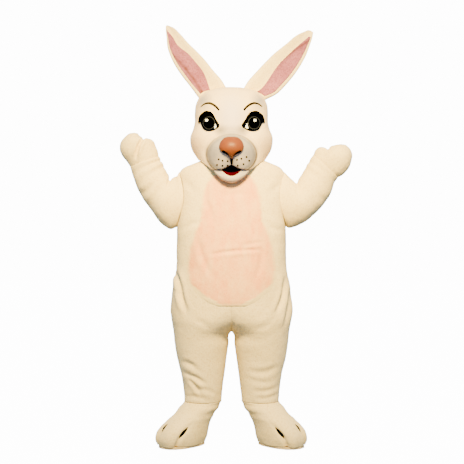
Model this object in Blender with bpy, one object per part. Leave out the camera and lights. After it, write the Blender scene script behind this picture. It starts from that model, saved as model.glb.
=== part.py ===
"""Rabbit mascot costume: a hollow plush suit, head, mitts and foot covers, all in worn form.

Metres, +Z up, the costume faces -Y. The origin is on the shoulder line, where the wearer carries it.
The wearer's left is +X. Every cloth piece is a closed wall of its own, about 0.3 mm from its neighbours.
"""
import math

import bmesh
import bpy
import numpy as np

# Driving sizes
FLOOR = -1.400
SEAM = 0.0003
CLOTH = 0.003
HEAD_WALL = 0.004
BUTT = 0.0006
STEP = 0.001

# Suit sections, +X half. Above the crotch the section is centred near x = 0, below it is one leg.
BODY_NAMES = ("z", "centre", "half_width", "front", "back", "squareness")
BODY = [
    (0.030, 0.000, 0.115, 0.085, 0.086, 2.2),
    (0.012, 0.000, 0.135, 0.095, 0.098, 2.2),
    (-0.003, 0.000, 0.157, 0.105, 0.108, 2.2),
    (-0.018, 0.000, 0.193, 0.113, 0.117, 2.3),
    (-0.034, 0.000, 0.230, 0.119, 0.125, 2.4),
    (-0.060, 0.000, 0.256, 0.126, 0.135, 2.4),
    (-0.100, 0.000, 0.262, 0.136, 0.146, 2.4),
    (-0.197, 0.000, 0.262, 0.155, 0.160, 2.4),
    (-0.330, 0.000, 0.268, 0.178, 0.166, 2.4),
    (-0.434, 0.000, 0.269, 0.193, 0.170, 2.3),
    (-0.523, 0.000, 0.272, 0.202, 0.176, 2.3),
    (-0.599, 0.000, 0.286, 0.206, 0.182, 2.3),
    (-0.650, 0.000, 0.294, 0.206, 0.186, 2.2),
    (-0.705, 0.000, 0.300, 0.202, 0.188, 2.2),
    (-0.745, 0.045, 0.257, 0.195, 0.186, 2.1),
    (-0.785, 0.092, 0.205, 0.184, 0.180, 2.1),
    (-0.815, 0.124, 0.168, 0.172, 0.172, 2.0),
    (-0.843, 0.1435, 0.1430, 0.160, 0.163, 2.0),
    (-0.907, 0.1466, 0.1316, 0.145, 0.150, 2.0),
    (-0.966, 0.1465, 0.1225, 0.132, 0.137, 2.0),
    (-1.025, 0.1430, 0.1130, 0.121, 0.126, 2.0),
    (-1.085, 0.1412, 0.1038, 0.111, 0.116, 2.0),
    (-1.144, 0.1412, 0.0958, 0.101, 0.104, 2.0),
    (-1.190, 0.1420, 0.0920, 0.0920, 0.0920, 2.0),
]
# The armhole is an ellipse seen from the side.
ARMHOLE_MIDDLE = -0.195
ARMHOLE_HALF_HEIGHT = 0.135
ARMHOLE_HALF_DEPTH = 0.085
ARMHOLE_STEPS = 6
CROTCH = -0.843
NECK_LEVELS = (0.030, 0.012, -0.003, -0.018, -0.034)
HIP_LEVELS = (-0.425, -0.523, -0.599, -0.650, -0.685, -0.705, -0.745, -0.785, -0.815, -0.835)
LEG_LEVELS = (CROTCH, -0.895, -0.966, -1.055, -1.130, -1.190)
SIDE_COLUMNS = 3
BELLY_COLUMNS = 4

# Belly panel outline, half widths
BELLY_NAMES = ("z", "half_width")
BELLY = [
    (-0.078, 0.096),
    (-0.123, 0.126),
    (-0.170, 0.143),
    (-0.240, 0.148),
    (-0.300, 0.154),
    (-0.345, 0.177),
    (-0.434, 0.206),
    (-0.523, 0.216),
    (-0.599, 0.202),
    (-0.650, 0.158),
    (-0.685, 0.110),
    (-0.705, 0.068),
]
BELLY_TOP = -0.0775
BELLY_BOTTOM = -0.7055
BELLY_THICKNESS = 0.002
SHARE_FADE_UP = 0.100
SHARE_FADE_DOWN = 0.160

# Sleeves: each row is a ring from the elbow-crease side (top) to the outer side (bottom) of the arm.
SLEEVE_NAMES = ("top_x", "top_z", "bottom_x", "bottom_z", "half_depth")
SLEEVES = {
    "right": [
        (0.276, -0.079, 0.308, -0.338, 0.091),
        (0.298, -0.0986, 0.3525, -0.3057, 0.093),
        (0.3057, -0.0887, 0.392, -0.2514, 0.090),
        (0.3155, -0.069, 0.4264, -0.202, 0.084),
        (0.330, -0.039, 0.458, -0.150, 0.077),
        (0.3476, -0.005, 0.4807, -0.0937, 0.070),
        (0.359, 0.0168, 0.4999, -0.036, 0.064),
    ],
    "left": [
        (0.2785, -0.077, 0.288, -0.336, 0.091),
        (0.318, -0.1134, 0.368, -0.3050, 0.094),
        (0.330, -0.096, 0.4140, -0.2660, 0.092),
        (0.3476, -0.0666, 0.4530, -0.2240, 0.086),
        (0.367, -0.0296, 0.4900, -0.1660, 0.078),
        (0.3845, 0.0025, 0.510, -0.108, 0.070),
        (0.3993, 0.027, 0.525, -0.0887, 0.064),
    ],
}
# Mitts: rows across the hand, thumb side first, from just past the wrist to the finger tips.
MITTS = {
    "right": [
        (0.3648, 0.044, 0.5191, -0.005, 0.068),
        (0.3747, 0.069, 0.5408, 0.0246, 0.072),
        (0.3845, 0.0912, 0.5497, 0.0592, 0.072),
        (0.3993, 0.1011, 0.5423, 0.0887, 0.068),
        (0.4141, 0.1025, 0.5241, 0.1114, 0.059),
        (0.4314, 0.1035, 0.5053, 0.1272, 0.044),
        (0.4560, 0.1210, 0.4840, 0.1320, 0.020),
        (0.4610, 0.1290, 0.4790, 0.1335, 0.004),
    ],
    "left": [
        (0.4092, 0.0468, 0.5423, -0.0789, 0.068),
        (0.4264, 0.0626, 0.5645, -0.0567, 0.072),
        (0.4437, 0.0651, 0.5832, -0.0296, 0.072),
        (0.4610, 0.0592, 0.5916, -0.0025, 0.067),
        (0.4782, 0.0592, 0.5955, 0.0246, 0.058),
        (0.4979, 0.0700, 0.5867, 0.0503, 0.044),
        (0.5275, 0.0764, 0.5669, 0.0710, 0.020),
        (0.5340, 0.0775, 0.5600, 0.0745, 0.004),
    ],
}
SLEEVE_COLUMNS = 12
MITT_COLUMNS = 6

# Foot covers: level rings above the floor, toes turned out.
FOOT_NAMES = ("height", "half_width", "toe_reach", "heel_reach", "squareness", "spread", "ahead", "aside")
FOOT = [
    (0.0123, 0.080, 0.136, 0.122, 2.3, 0.10, 0.108, 0.024),
    (0.040, 0.087, 0.145, 0.130, 2.4, 0.12, 0.106, 0.024),
    (0.070, 0.088, 0.144, 0.130, 2.4, 0.12, 0.100, 0.022),
    (0.098, 0.088, 0.138, 0.124, 2.3, 0.10, 0.088, 0.019),
    (0.120, 0.088, 0.130, 0.117, 2.2, 0.08, 0.074, 0.015),
    (0.145, 0.0885, 0.118, 0.109, 2.1, 0.05, 0.053, 0.010),
    (0.175, 0.090, 0.103, 0.100, 2.0, 0.02, 0.026, 0.005),
    (0.2094, 0.092, 0.092, 0.092, 2.0, 0.00, 0.000, 0.000),
]
FOOT_COLUMNS = 16
ANKLE_X = 0.142
TOE_OUT = math.radians(46)
SOLE_THICKNESS = 0.012
# Turn from the toe line towards the inner side, height, half width, half height, lean inwards
TOE_MARKS = {"inner": (56.25, 0.081, 0.0100, 0.026, 0.35), "outer": (-9.0, 0.101, 0.0060, 0.017, 0.35)}
TOE_MARK_RADIUS = 0.116
TOE_MARK_LIFT = 0.0010
TOE_MARK_REACH = 0.0010

# Head sections, with a snout raised on them.
HEAD_NAMES = ("z", "half_width", "front", "back")
HEAD = [
    (-0.003, 0.1600, 0.150, 0.113),
    (0.018, 0.1760, 0.158, 0.134),
    (0.045, 0.1930, 0.165, 0.154),
    (0.090, 0.2035, 0.168, 0.172),
    (0.110, 0.2035, 0.168, 0.176),
    (0.150, 0.1890, 0.165, 0.181),
    (0.185, 0.1805, 0.160, 0.183),
    (0.230, 0.1800, 0.150, 0.182),
    (0.280, 0.1720, 0.130, 0.172),
    (0.318, 0.1470, 0.100, 0.145),
    (0.343, 0.1020, 0.066, 0.104),
    (0.355, 0.0500, 0.032, 0.052),
]
HEAD_TOP = 0.358
HEAD_MIDDLE = (0.0, 0.0, 0.120)
HEAD_SQUARENESS = 2.15
HEAD_LEVELS = (-0.003, 0.014, 0.036, 0.062, 0.090, 0.120, 0.155, 0.195, 0.235, 0.278, 0.316, 0.342, 0.355)
HEAD_BEARINGS = (0, 7, 14, 22, 30, 38, 47, 57, 68, 79, 90, 112.5, 135, 157.5, 180)
SNOUT_MIDDLE = 0.036
SNOUT_HALF_WIDTH = 0.130
SNOUT_HALF_HEIGHT = 0.100
SNOUT_REACH = 0.095
SNOUT_BREADTH = 2.4
SNOUT_SOFTNESS = 1.2
# Lower edge of the head by bearing from straight ahead; behind the last row it follows the neck.
RIM_NAMES = ("bearing", "x", "y", "z")
RIM = [
    (0, 0.000, -0.215, -0.0300),
    (7, 0.022, -0.216, -0.0410),
    (14, 0.045, -0.210, -0.0505),
    (22, 0.068, -0.197, -0.0532),
    (30, 0.086, -0.176, -0.0540),
    (38, 0.101, -0.152, -0.046),
    (47, 0.118, -0.129, -0.033),
    (57, 0.135, -0.105, -0.020),
    (68, 0.150, -0.075, -0.009),
    (80, 0.1605, -0.030, -0.003),
]
RIM_BLEND_TOP = 0.060
NECK_CLEARANCE = 0.0014

# Jaw: rows across from corner to corner, from the lip down and back under the chin.
JAW_NAMES = ("middle_y", "corner_y", "middle_z", "corner_z")
JAW = [
    (-0.203, -0.1762, -0.0830, -0.0544),
    (-0.207, -0.1755, -0.0920, -0.0572),
    (-0.203, -0.1735, -0.1040, -0.0588),
    (-0.190, -0.1710, -0.1135, -0.0600),
    (-0.172, -0.1680, -0.1150, -0.0606),
]
JAW_HALF_WIDTH = 0.084
JAW_COLUMNS = 10
JAW_INSIDE = (0.0, 0.050, 0.030)
# The top edge of the jaw: a curve under the mouth that tucks up behind the upper lip at the corners.
MOUTH_LOW = -0.0830
MOUTH_CURVE = 12.2
JAW_TUCK = 0.0120
LIP_LOW = (0.0, 0.0005, 0.0010)
LIP_HIGH = (0.0, 0.0015, 0.0022)
LIP_FULL = 0.0140
LIP_DEPTH = 0.0060
LINING_LEAN = 0.020
LINING_HOLLOW = 0.012
MOUTH_TOP = -0.022

# Ears: rows from the head to the tip; outer edge, then inner edge, then where the row lies in depth.
EAR_NAMES = ("outer_x", "outer_z", "inner_x", "inner_z", "half_depth", "y")
EARS = {
    "right": [
        (0.1580, 0.305, 0.0240, 0.358, 0.034, 0.030),
        (0.2046, 0.3648, 0.0518, 0.3993, 0.032, 0.034),
        (0.2440, 0.4166, 0.0912, 0.4462, 0.030, 0.040),
        (0.2761, 0.4634, 0.1306, 0.4955, 0.027, 0.046),
        (0.3007, 0.5103, 0.1726, 0.5398, 0.023, 0.052),
        (0.3165, 0.5571, 0.2145, 0.5807, 0.019, 0.058),
        (0.3229, 0.6113, 0.2564, 0.6286, 0.014, 0.064),
        (0.3264, 0.6458, 0.2894, 0.6591, 0.009, 0.067),
        (0.3269, 0.6655, 0.3155, 0.6704, 0.004, 0.069),
    ],
    "left": [
        (0.1620, 0.288, 0.0560, 0.3530, 0.034, 0.030),
        (0.2243, 0.3278, 0.0789, 0.3870, 0.032, 0.034),
        (0.2613, 0.3648, 0.1035, 0.4166, 0.030, 0.040),
        (0.2983, 0.4067, 0.1331, 0.4486, 0.027, 0.046),
        (0.3328, 0.4536, 0.1676, 0.4856, 0.023, 0.052),
        (0.3638, 0.5078, 0.2145, 0.5310, 0.019, 0.058),
        (0.3860, 0.5620, 0.2687, 0.5758, 0.014, 0.064),
        (0.4008, 0.6088, 0.3303, 0.6251, 0.009, 0.067),
        (0.4062, 0.6360, 0.3796, 0.6468, 0.004, 0.069),
    ],
}
EAR_COLUMNS = 12
HALVINGS = 40
EAR_GAP = 0.0014
EAR_SOCKET = 0.014
EAR_TIP = 0.003
EAR_HOLLOW = 1.05
# Pink lining of each ear: the ear row, which may lie between two, and the four ear columns it uses there.
LININGS = {
    "right": [
        (0.20, 1.25, 2.0, 2.5, 2.8),
        (1, 1.25, 2.0, 3.0, 3.25),
        (2, 1.25, 2.0, 3.0, 3.7),
        (3, 1.25, 2.0, 3.0, 3.7),
        (4, 1.25, 2.0, 3.0, 3.6),
        (5, 1.25, 2.0, 2.5, 3.0),
        (6, 1.25, 1.7, 2.0, 2.6),
        (7, 1.20, 1.3, 1.4, 1.5),
    ],
    "left": [
        (0.20, 1.25, 2.0, 2.5, 2.8),
        (1, 1.25, 2.0, 2.5, 3.0),
        (2, 1.25, 2.0, 2.7, 3.1),
        (3, 1.25, 2.0, 3.0, 3.3),
        (4, 1.25, 2.0, 3.0, 3.4),
        (5, 1.25, 2.0, 3.0, 3.25),
        (6, 1.25, 2.0, 2.5, 2.9),
        (7, 1.25, 1.5, 1.8, 2.0),
    ],
}
LINING_LIFT = 0.0009
LINING_THICKNESS = 0.0015

# Face pieces: middle on the head in front view, half sizes, how far they stand out
NOSE_MIDDLE = (0.000, 0.052)
NOSE_HALF = (0.056, 0.045)
NOSE_REACH = 0.030
EYE_MIDDLE = (0.107, 0.183)
EYE_HALF = (0.049, 0.051)
EYE_REACH = 0.010
NOSE_LIFT = 0.0017
EYE_LIFT = 0.0020
PATCH_RINGS = 3
PATCH_COLUMNS = 16
TOE_MARK_RINGS = 2
TOE_MARK_COLUMNS = 10

# Zip down the centre back
ZIP_TOP = -0.0720
ZIP_BOTTOM = -0.560
ZIP_HALF_WIDTH = 0.004
ZIP_LIFT = 0.0006
ZIP_THICKNESS = 0.0018
SLIDER_Z = -0.0850
SLIDER_SIZE = (0.0100, 0.0030, 0.0150)
SLIDER_CHEEK = 0.0014
SLIDER_CHEEK_HEIGHT = 0.0052
PIN_RADIUS = 0.0009
PIN_SETBACK = 0.0036
PULL_SIZE = (0.0066, 0.0014, 0.0300)
PULL_EYE = 0.0014
PULL_HEAD = 0.0026
ROD_SIDES = 16

COLOURS = {
    "cream_plush": ((0.87, 0.78, 0.60), 0.90),
    "peach_plush": ((0.87, 0.65, 0.49), 0.90),
    "grey_plush": ((0.55, 0.50, 0.42), 0.90),
    "pink_plush": ((0.70, 0.40, 0.38), 0.90),
    "black_felt": ((0.010, 0.010, 0.010), 0.85),
    "black_gloss": ((0.006, 0.006, 0.006), 0.12),
    "coral_vinyl": ((0.62, 0.27, 0.15), 0.30),
    "red_vinyl": ((0.36, 0.03, 0.02), 0.35),
    "sole_vinyl": ((0.60, 0.54, 0.44), 0.70),
    "zip_tape": ((0.80, 0.74, 0.60), 0.60),
    "zip_metal": ((0.62, 0.60, 0.56), 0.35),
}


def table(names, rows):
    """Turn rows of numbers into one array for each named column."""
    return dict(zip(names, np.array(rows, dtype=float).T))


def read(columns, key, name, where):
    """Read a column smoothly at a value of its key column, with cubic pieces between the rows."""
    keys = columns[key]
    values = columns[name]
    if keys[0] > keys[-1]:
        keys = keys[::-1]
        values = values[::-1]
    slopes = np.gradient(values, keys)
    where = np.clip(where, keys[0], keys[-1])
    i = np.clip(np.searchsorted(keys, where) - 1, 0, len(keys) - 2)
    width = keys[i + 1] - keys[i]
    s = (where - keys[i]) / width
    rise = values[i] * (1 + 2 * s) * (1 - s) ** 2 + values[i + 1] * s * s * (3 - 2 * s)
    return rise + width * (slopes[i] * s * (1 - s) ** 2 - slopes[i + 1] * s * s * (1 - s))


BODY_TABLE = table(BODY_NAMES, BODY)
BELLY_TABLE = table(BELLY_NAMES, BELLY)
FOOT_TABLE = table(FOOT_NAMES, FOOT)
HEAD_TABLE = table(HEAD_NAMES, HEAD)
RIM_TABLE = table(RIM_NAMES, RIM)


def signed_power(value, power):
    return math.copysign(abs(value) ** power, value)


# ---------------------------------------------------------------- meshes

def clear_scene():
    for item in list(bpy.data.objects):
        bpy.data.objects.remove(item, do_unlink=True)


def material(name):
    made = bpy.data.materials.get(name)
    if made is None:
        made = bpy.data.materials.new(name)
        made.use_nodes = True
        shader = made.node_tree.nodes["Principled BSDF"]
        colour, roughness = COLOURS[name]
        shader.inputs["Base Color"].default_value = (*colour, 1.0)
        shader.inputs["Roughness"].default_value = roughness
        shader.inputs["Metallic"].default_value = 1.0 if name == "zip_metal" else 0.0
    return made


def make_object(name, points, faces, finish):
    """Make a closed mesh object with its faces turned out."""
    mesh = bpy.data.meshes.new(name)
    mesh.from_pydata([tuple(float(c) for c in p) for p in points], [], faces)
    bm = bmesh.new()
    bm.from_mesh(mesh)
    bmesh.ops.recalc_face_normals(bm, faces=bm.faces)
    bm.to_mesh(mesh)
    bm.free()
    mesh.shade_smooth()
    mesh.materials.append(material(finish))
    made = bpy.data.objects.new(name, mesh)
    bpy.context.scene.collection.objects.link(made)
    return made


def grid_normals(grid, closed):
    """Unit normals of a grid of points, turned away from the middle of each row."""
    if closed:
        along = np.roll(grid, -1, axis=1) - np.roll(grid, 1, axis=1)
    else:
        along = np.gradient(grid, axis=1)
    across = np.gradient(grid, axis=0)
    normals = np.cross(along, across)
    length = np.linalg.norm(normals, axis=2, keepdims=True)
    normals = normals / np.maximum(length, 1e-12)
    return normals


def outward(grid, normals, middles):
    """Flip all the normals if most of them point to the given middles of the rows."""
    away = np.sum(normals * (grid - middles[:, None, :]))
    return normals if away > 0 else -normals


def two_sheets(name, outer, inner, closed, finish, cap=None, fold=None):
    """A wall between two grids of points. A closed grid wraps round; cap = (outer, inner) top points.

    Past the fold column the squares are split the other way, as a mirrored half's are.
    """
    rows, columns = outer.shape[:2]
    points = [*outer.reshape(-1, 3), *inner.reshape(-1, 3)]
    half = rows * columns
    faces = []

    def at(layer, row, column):
        return layer * half + row * columns + column % columns

    def quad(a, b, c, d):
        faces.append((a, b, c))
        faces.append((a, c, d))

    cells = columns if closed else columns - 1
    for i in range(rows - 1):
        for j in range(cells):
            for layer in (0, 1):
                corners = [at(layer, i, j), at(layer, i, j + 1), at(layer, i + 1, j + 1), at(layer, i + 1, j)]
                if fold is not None and j >= fold:
                    corners = corners[1:] + corners[:1]
                quad(*(corners if layer == 0 else corners[:1] + corners[:0:-1]))
    for j in range(cells):
        quad(at(0, 0, j), at(1, 0, j), at(1, 0, j + 1), at(0, 0, j + 1))
        if cap is None:
            last = rows - 1
            quad(at(0, last, j), at(0, last, j + 1), at(1, last, j + 1), at(1, last, j))
    if not closed:
        for i in range(rows - 1):
            last = columns - 1
            quad(at(0, i, 0), at(0, i + 1, 0), at(1, i + 1, 0), at(1, i, 0))
            quad(at(0, i, last), at(1, i, last), at(1, i + 1, last), at(0, i + 1, last))
    if cap is not None:
        outer_tip = len(points)
        points.extend(cap)
        for j in range(cells):
            faces.append((at(0, rows - 1, j), at(0, rows - 1, j + 1), outer_tip))
            faces.append((at(1, rows - 1, j + 1), at(1, rows - 1, j), outer_tip + 1))
    return make_object(name, points, faces, finish)


def mirrored(grid):
    return grid * np.array([-1.0, 1.0, 1.0])


# ---------------------------------------------------------------- suit

def armhole_reach(z):
    """Half depth of the armhole at a height, zero above and below it."""
    rise = (z - ARMHOLE_MIDDLE) / ARMHOLE_HALF_HEIGHT
    return ARMHOLE_HALF_DEPTH * math.sqrt(max(0.0, 1 - rise * rise))


def body_size(z, toward):
    """Centre, half width, depth and squareness of the suit's section at a height."""
    depth = "front" if toward < 0 else "back"
    return [float(read(BODY_TABLE, "z", name, z)) for name in ("centre", "half_width", depth, "squareness")]


def section_ends(z, toward):
    """Angles of a panel's side edge and of its centre or inseam edge."""
    centre, half_width, depth, n = body_size(z, toward)
    start = math.asin(min(1.0, (armhole_reach(z) / depth) ** (n / 2)))
    edge = (SEAM / 2 - centre) / half_width
    end = math.acos(max(-1.0, min(1.0, signed_power(edge, n / 2))))
    return start, end


def section_point(z, angle, toward):
    centre, half_width, depth, n = body_size(z, toward)
    x = centre + half_width * signed_power(math.cos(angle), 2 / n)
    y = toward * depth * abs(math.sin(angle)) ** (2 / n)
    return np.array([x, y, z])


def belly_share(z, toward):
    """How far round from the side the belly's edge lies, as a share of the panel's width."""
    plain = SIDE_COLUMNS / (SIDE_COLUMNS + BELLY_COLUMNS)
    if toward > 0:
        return plain
    level = min(max(z, BELLY_BOTTOM), BELLY_TOP)
    centre, half_width, _, n = body_size(level, -1)
    start, end = section_ends(level, -1)
    x = float(read(BELLY_TABLE, "z", "half_width", level))
    angle = math.acos(signed_power((x - centre) / half_width, n / 2))
    fade = max(0.0, 1 - (z - level) / SHARE_FADE_UP if z > level else 1 - (level - z) / SHARE_FADE_DOWN)
    return plain + ((angle - start) / (end - start) - plain) * fade


def body_levels():
    steps = [math.cos(math.pi * k / ARMHOLE_STEPS) for k in range(ARMHOLE_STEPS + 1)]
    armhole = [ARMHOLE_MIDDLE + ARMHOLE_HALF_HEIGHT * c for c in steps]
    return [*NECK_LEVELS, *armhole, *HIP_LEVELS, *LEG_LEVELS]


def body_grid(toward):
    """Rows down the suit, columns from the side seam to the centre front, centre back or inseam."""
    rows = []
    for z in body_levels():
        start, end = section_ends(z, toward)
        edge = belly_share(z, toward)
        shares = [edge * k / SIDE_COLUMNS for k in range(SIDE_COLUMNS)]
        shares += [edge + (1 - edge) * k / BELLY_COLUMNS for k in range(BELLY_COLUMNS + 1)]
        rows.append([section_point(z, start + (end - start) * share, toward) for share in shares])
    return np.array(rows)


def body_middles(levels):
    return np.array([(read(BODY_TABLE, "z", "centre", z), 0.0, z) for z in levels])


def body_sheets(toward):
    """Outer and inner points of one panel, kept to its own side of each seam."""
    outer = body_grid(toward)
    normals = outward(outer, grid_normals(outer, False), body_middles(body_levels()))
    inner = outer - normals * CLOTH
    for grid in (outer, inner):
        grid[..., 0] = np.maximum(grid[..., 0], SEAM / 2)
        grid[..., 1] = toward * np.maximum(toward * grid[..., 1], SEAM / 2)
    return outer, inner, normals


def make_body():
    for toward, label in ((-1, "front"), (1, "back")):
        outer, inner, _ = body_sheets(toward)
        two_sheets(f"{label}_left", outer, inner, False, "cream_plush")
        two_sheets(f"{label}_right", mirrored(outer), mirrored(inner), False, "cream_plush")


def make_belly():
    """The belly panel repeats the front panels' own points, moved out."""
    outer, _, normals = body_sheets(-1)
    levels = np.array(body_levels())
    rows = np.where((levels < BELLY_TOP) & (levels > BELLY_BOTTOM))[0]
    half = outer[rows][:, SIDE_COLUMNS:]
    out = normals[rows][:, SIDE_COLUMNS:]
    half[:, -1, 0] = 0.0
    out[:, -1, 0] = 0.0
    full = np.concatenate([half, mirrored(half)[:, -2::-1]], axis=1)
    full_out = np.concatenate([out, mirrored(out)[:, -2::-1]], axis=1)
    under = full + full_out * SEAM
    top = full + full_out * (SEAM + BELLY_THICKNESS)
    two_sheets("belly_panel", top, under, False, "peach_plush", fold=BELLY_COLUMNS)


# ---------------------------------------------------------------- sleeves and mitts

def arm_ring(row, columns, half_turn):
    """Ellipse between the two edge points of a row; a half turn gives one side only."""
    top_x, top_z, bottom_x, bottom_z, half_depth = row
    ring = []
    for k in range(columns + (1 if half_turn else 0)):
        angle = (math.pi if half_turn else 2 * math.pi) * k / columns
        share = (1 - math.cos(angle)) / 2
        x = top_x + (bottom_x - top_x) * share
        z = top_z + (bottom_z - top_z) * share
        ring.append((x, -half_depth * math.sin(angle), z))
    return np.array(ring)


def armhole_ring():
    """The sleeve's first ring, on the suit's armhole edge and just outside it."""
    ring = []
    for k in range(SLEEVE_COLUMNS):
        angle = 2 * math.pi * k / SLEEVE_COLUMNS
        z = ARMHOLE_MIDDLE + ARMHOLE_HALF_HEIGHT * math.cos(angle)
        toward = -1 if k <= SLEEVE_COLUMNS / 2 else 1
        start, _ = section_ends(z, toward)
        ring.append(section_point(z, start, toward) + np.array([BUTT, 0.0, 0.0]))
    return np.array(ring)


def wall_inside(outer, closed, thickness):
    middles = outer.mean(axis=1)
    return outer - outward(outer, grid_normals(outer, closed), middles) * thickness


def make_sleeve(side):
    rings = [armhole_ring()]
    rings += [arm_ring(row, SLEEVE_COLUMNS, False) for row in SLEEVES[side]]
    outer = np.array(rings)
    inner = wall_inside(outer, True, CLOTH)
    inner[0, :, 0] = np.maximum(inner[0, :, 0], outer[0, :, 0])
    if side == "right":
        outer = mirrored(outer)
        inner = mirrored(inner)
    two_sheets(f"sleeve_{side}", outer, inner, True, "cream_plush")


def wrist_row(side):
    """The mitt's first row: the sleeve's last ring, moved on along the arm by the gap."""
    before = np.array(SLEEVES[side][-2])
    last = np.array(SLEEVES[side][-1])
    step = (last[:2] + last[2:4] - before[:2] - before[2:4]) / 2
    step = step / np.linalg.norm(step) * BUTT
    return (last[0] + step[0], last[1] + step[1], last[2] + step[0], last[3] + step[1], last[4])


def make_mitt(side):
    rows = [wrist_row(side), *MITTS[side]]
    front = np.array([arm_ring(row, MITT_COLUMNS, True) for row in rows])
    normals = grid_normals(front, False)
    middles = front.mean(axis=1) * np.array([1.0, 0.0, 1.0])
    inner = front - outward(front, normals, middles) * CLOTH
    for grid in (front, inner):
        grid[..., 1] = np.minimum(grid[..., 1], -SEAM / 2)
        if side == "right":
            grid[..., 0] *= -1
    two_sheets(f"mitt_{side}_palm", front, inner, False, "cream_plush")
    turned = np.array([1.0, -1.0, 1.0])
    two_sheets(f"mitt_{side}_back", front * turned, inner * turned, False, "cream_plush")


# ---------------------------------------------------------------- feet

def foot_point(height, angle):
    """Left foot; angle 0 points across the foot, a quarter turn points to the toes."""
    sizes = [float(read(FOOT_TABLE, "height", name, height)) for name in FOOT_NAMES[1:]]
    half_width, toe, heel, n, spread, shift_ahead, shift_aside = sizes
    reach = toe if math.sin(angle) > 0 else heel
    across = shift_aside + half_width * (1 + spread * math.sin(angle)) * signed_power(math.cos(angle), 2 / n)
    ahead = shift_ahead + reach * signed_power(math.sin(angle), 2 / n)
    x = ANKLE_X + across * math.cos(TOE_OUT) + ahead * math.sin(TOE_OUT)
    y = across * math.sin(TOE_OUT) - ahead * math.cos(TOE_OUT)
    return np.array([x, y, FLOOR + height])


def foot_ring(height, columns=FOOT_COLUMNS):
    return np.array([foot_point(height, 2 * math.pi * k / columns) for k in range(columns)])


def make_foot(side):
    turn = 1.0 if side == "left" else -1.0
    flip = np.array([turn, 1.0, 1.0])
    outer = np.array([foot_ring(row[0]) for row in FOOT])
    inner = wall_inside(outer, True, CLOTH)
    for row in (0, -1):
        inner[row, :, 2] = outer[row, :, 2]
    two_sheets(f"foot_{side}_upper", outer * flip, inner * flip, True, "cream_plush")
    edge = foot_ring(FOOT[0][0])
    top = edge.copy()
    top[:, 2] = FLOOR + SOLE_THICKNESS
    bottom = edge.copy()
    bottom[:, 2] = FLOOR
    points = [*(top * flip), *(bottom * flip)]
    count = len(edge)
    faces = [tuple(range(count)), tuple(range(count, 2 * count))[::-1]]
    faces += [(j, count + j, count + (j + 1) % count, (j + 1) % count) for j in range(count)]
    make_object(f"sole_{side}", points, faces, "sole_vinyl")
    for label, mark in TOE_MARKS.items():
        make_toe_mark(side, label, mark, outer, flip)


def make_toe_mark(side, label, mark, outer, flip):
    """A dark lens between two toes, on the upper's facets."""
    bearing, height, half_width, half_height, lean = mark
    ring = np.concatenate([outer, outer[:, :1]], axis=1)
    levels = [row[0] for row in FOOT]

    def surface(u, v):
        def spot(du, dv):
            turn = math.radians(90 + bearing) + (u + du + lean * (v + dv)) / TOE_MARK_RADIUS
            row = float(np.interp(height + v + dv, levels, range(len(levels))))
            return on_facets(ring, row, turn / (2 * math.pi) * FOOT_COLUMNS)

        normal = np.cross(spot(0, STEP) - spot(0, -STEP), spot(STEP, 0) - spot(-STEP, 0))
        return spot(0, 0), normal / np.linalg.norm(normal)

    make_patch(f"toe_{side}_{label}", surface, (half_width, half_height), TOE_MARK_LIFT, TOE_MARK_REACH,
               "black_felt", flip=flip, shape=lens_shape, density=(TOE_MARK_RINGS, TOE_MARK_COLUMNS))


def lens_shape(across, up):
    """A lens with its points up and down."""
    return across * (1 - up * up), up


def make_patch(name, surface, half, lift, reach, finish, shape, flip=None, density=None):
    """A closed shallow dome on a surface, its back following the surface."""
    flip = np.ones(3) if flip is None else flip
    rings, columns = density or (PATCH_RINGS, PATCH_COLUMNS)
    outer = []
    under = []
    for ring in range(rings, 0, -1):
        share = ring / rings
        rise = lift + BUTT + reach * math.sqrt(1 - share * share)
        for k in range(columns):
            angle = 2 * math.pi * k / columns
            across, up = shape(math.cos(angle), math.sin(angle))
            point, normal = surface(half[0] * across * share, half[1] * up * share)
            outer.append((point + normal * rise) * flip)
            under.append((point + normal * lift) * flip)
    point, normal = surface(0.0, 0.0)
    tips = ((point + normal * (lift + BUTT + reach)) * flip, (point + normal * lift) * flip)
    grid = (rings, columns, 3)
    return two_sheets(name, np.array(outer).reshape(grid), np.array(under).reshape(grid), True, finish,
                      cap=tips)


# ---------------------------------------------------------------- head

def snout(x, z):
    """How far the snout stands out of the face: a mound with a broad top and a soft foot."""
    r = math.hypot(x / SNOUT_HALF_WIDTH, (z - SNOUT_MIDDLE) / SNOUT_HALF_HEIGHT)
    return SNOUT_REACH * (1 - min(r, 1.0) ** SNOUT_BREADTH) ** SNOUT_SOFTNESS


def head_size(z):
    return [float(read(HEAD_TABLE, "z", name, z)) for name in ("half_width", "front", "back")]


def head_section(z, bearing):
    """Point of the head at a height; bearing is 0 straight ahead and 180 behind, towards +X."""
    half_width, front, back = head_size(z)
    turn = math.radians(bearing)
    x = half_width * abs(math.sin(turn)) ** (2 / HEAD_SQUARENESS)
    if bearing <= 90:
        y = -front * abs(math.cos(turn)) ** (2 / HEAD_SQUARENESS) - snout(x, z)
    else:
        y = back * abs(math.cos(turn)) ** (2 / HEAD_SQUARENESS)
    return np.array([x, y, z])


def rim_point(bearing):
    """Lower edge of the head, ahead from its own table and behind from the suit's neck."""
    if bearing <= RIM[-1][0]:
        return np.array([float(read(RIM_TABLE, "bearing", name, bearing)) for name in ("x", "y", "z")])
    z = RIM[-1][3]
    toward = -1 if bearing < 90 else 1
    neck = section_point(z, math.radians(abs(90 - bearing)), toward)
    away = neck * np.array([1.0, 1.0, 0.0])
    away = away / np.linalg.norm(away)
    return neck + away * (NECK_CLEARANCE + HEAD_WALL)


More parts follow.
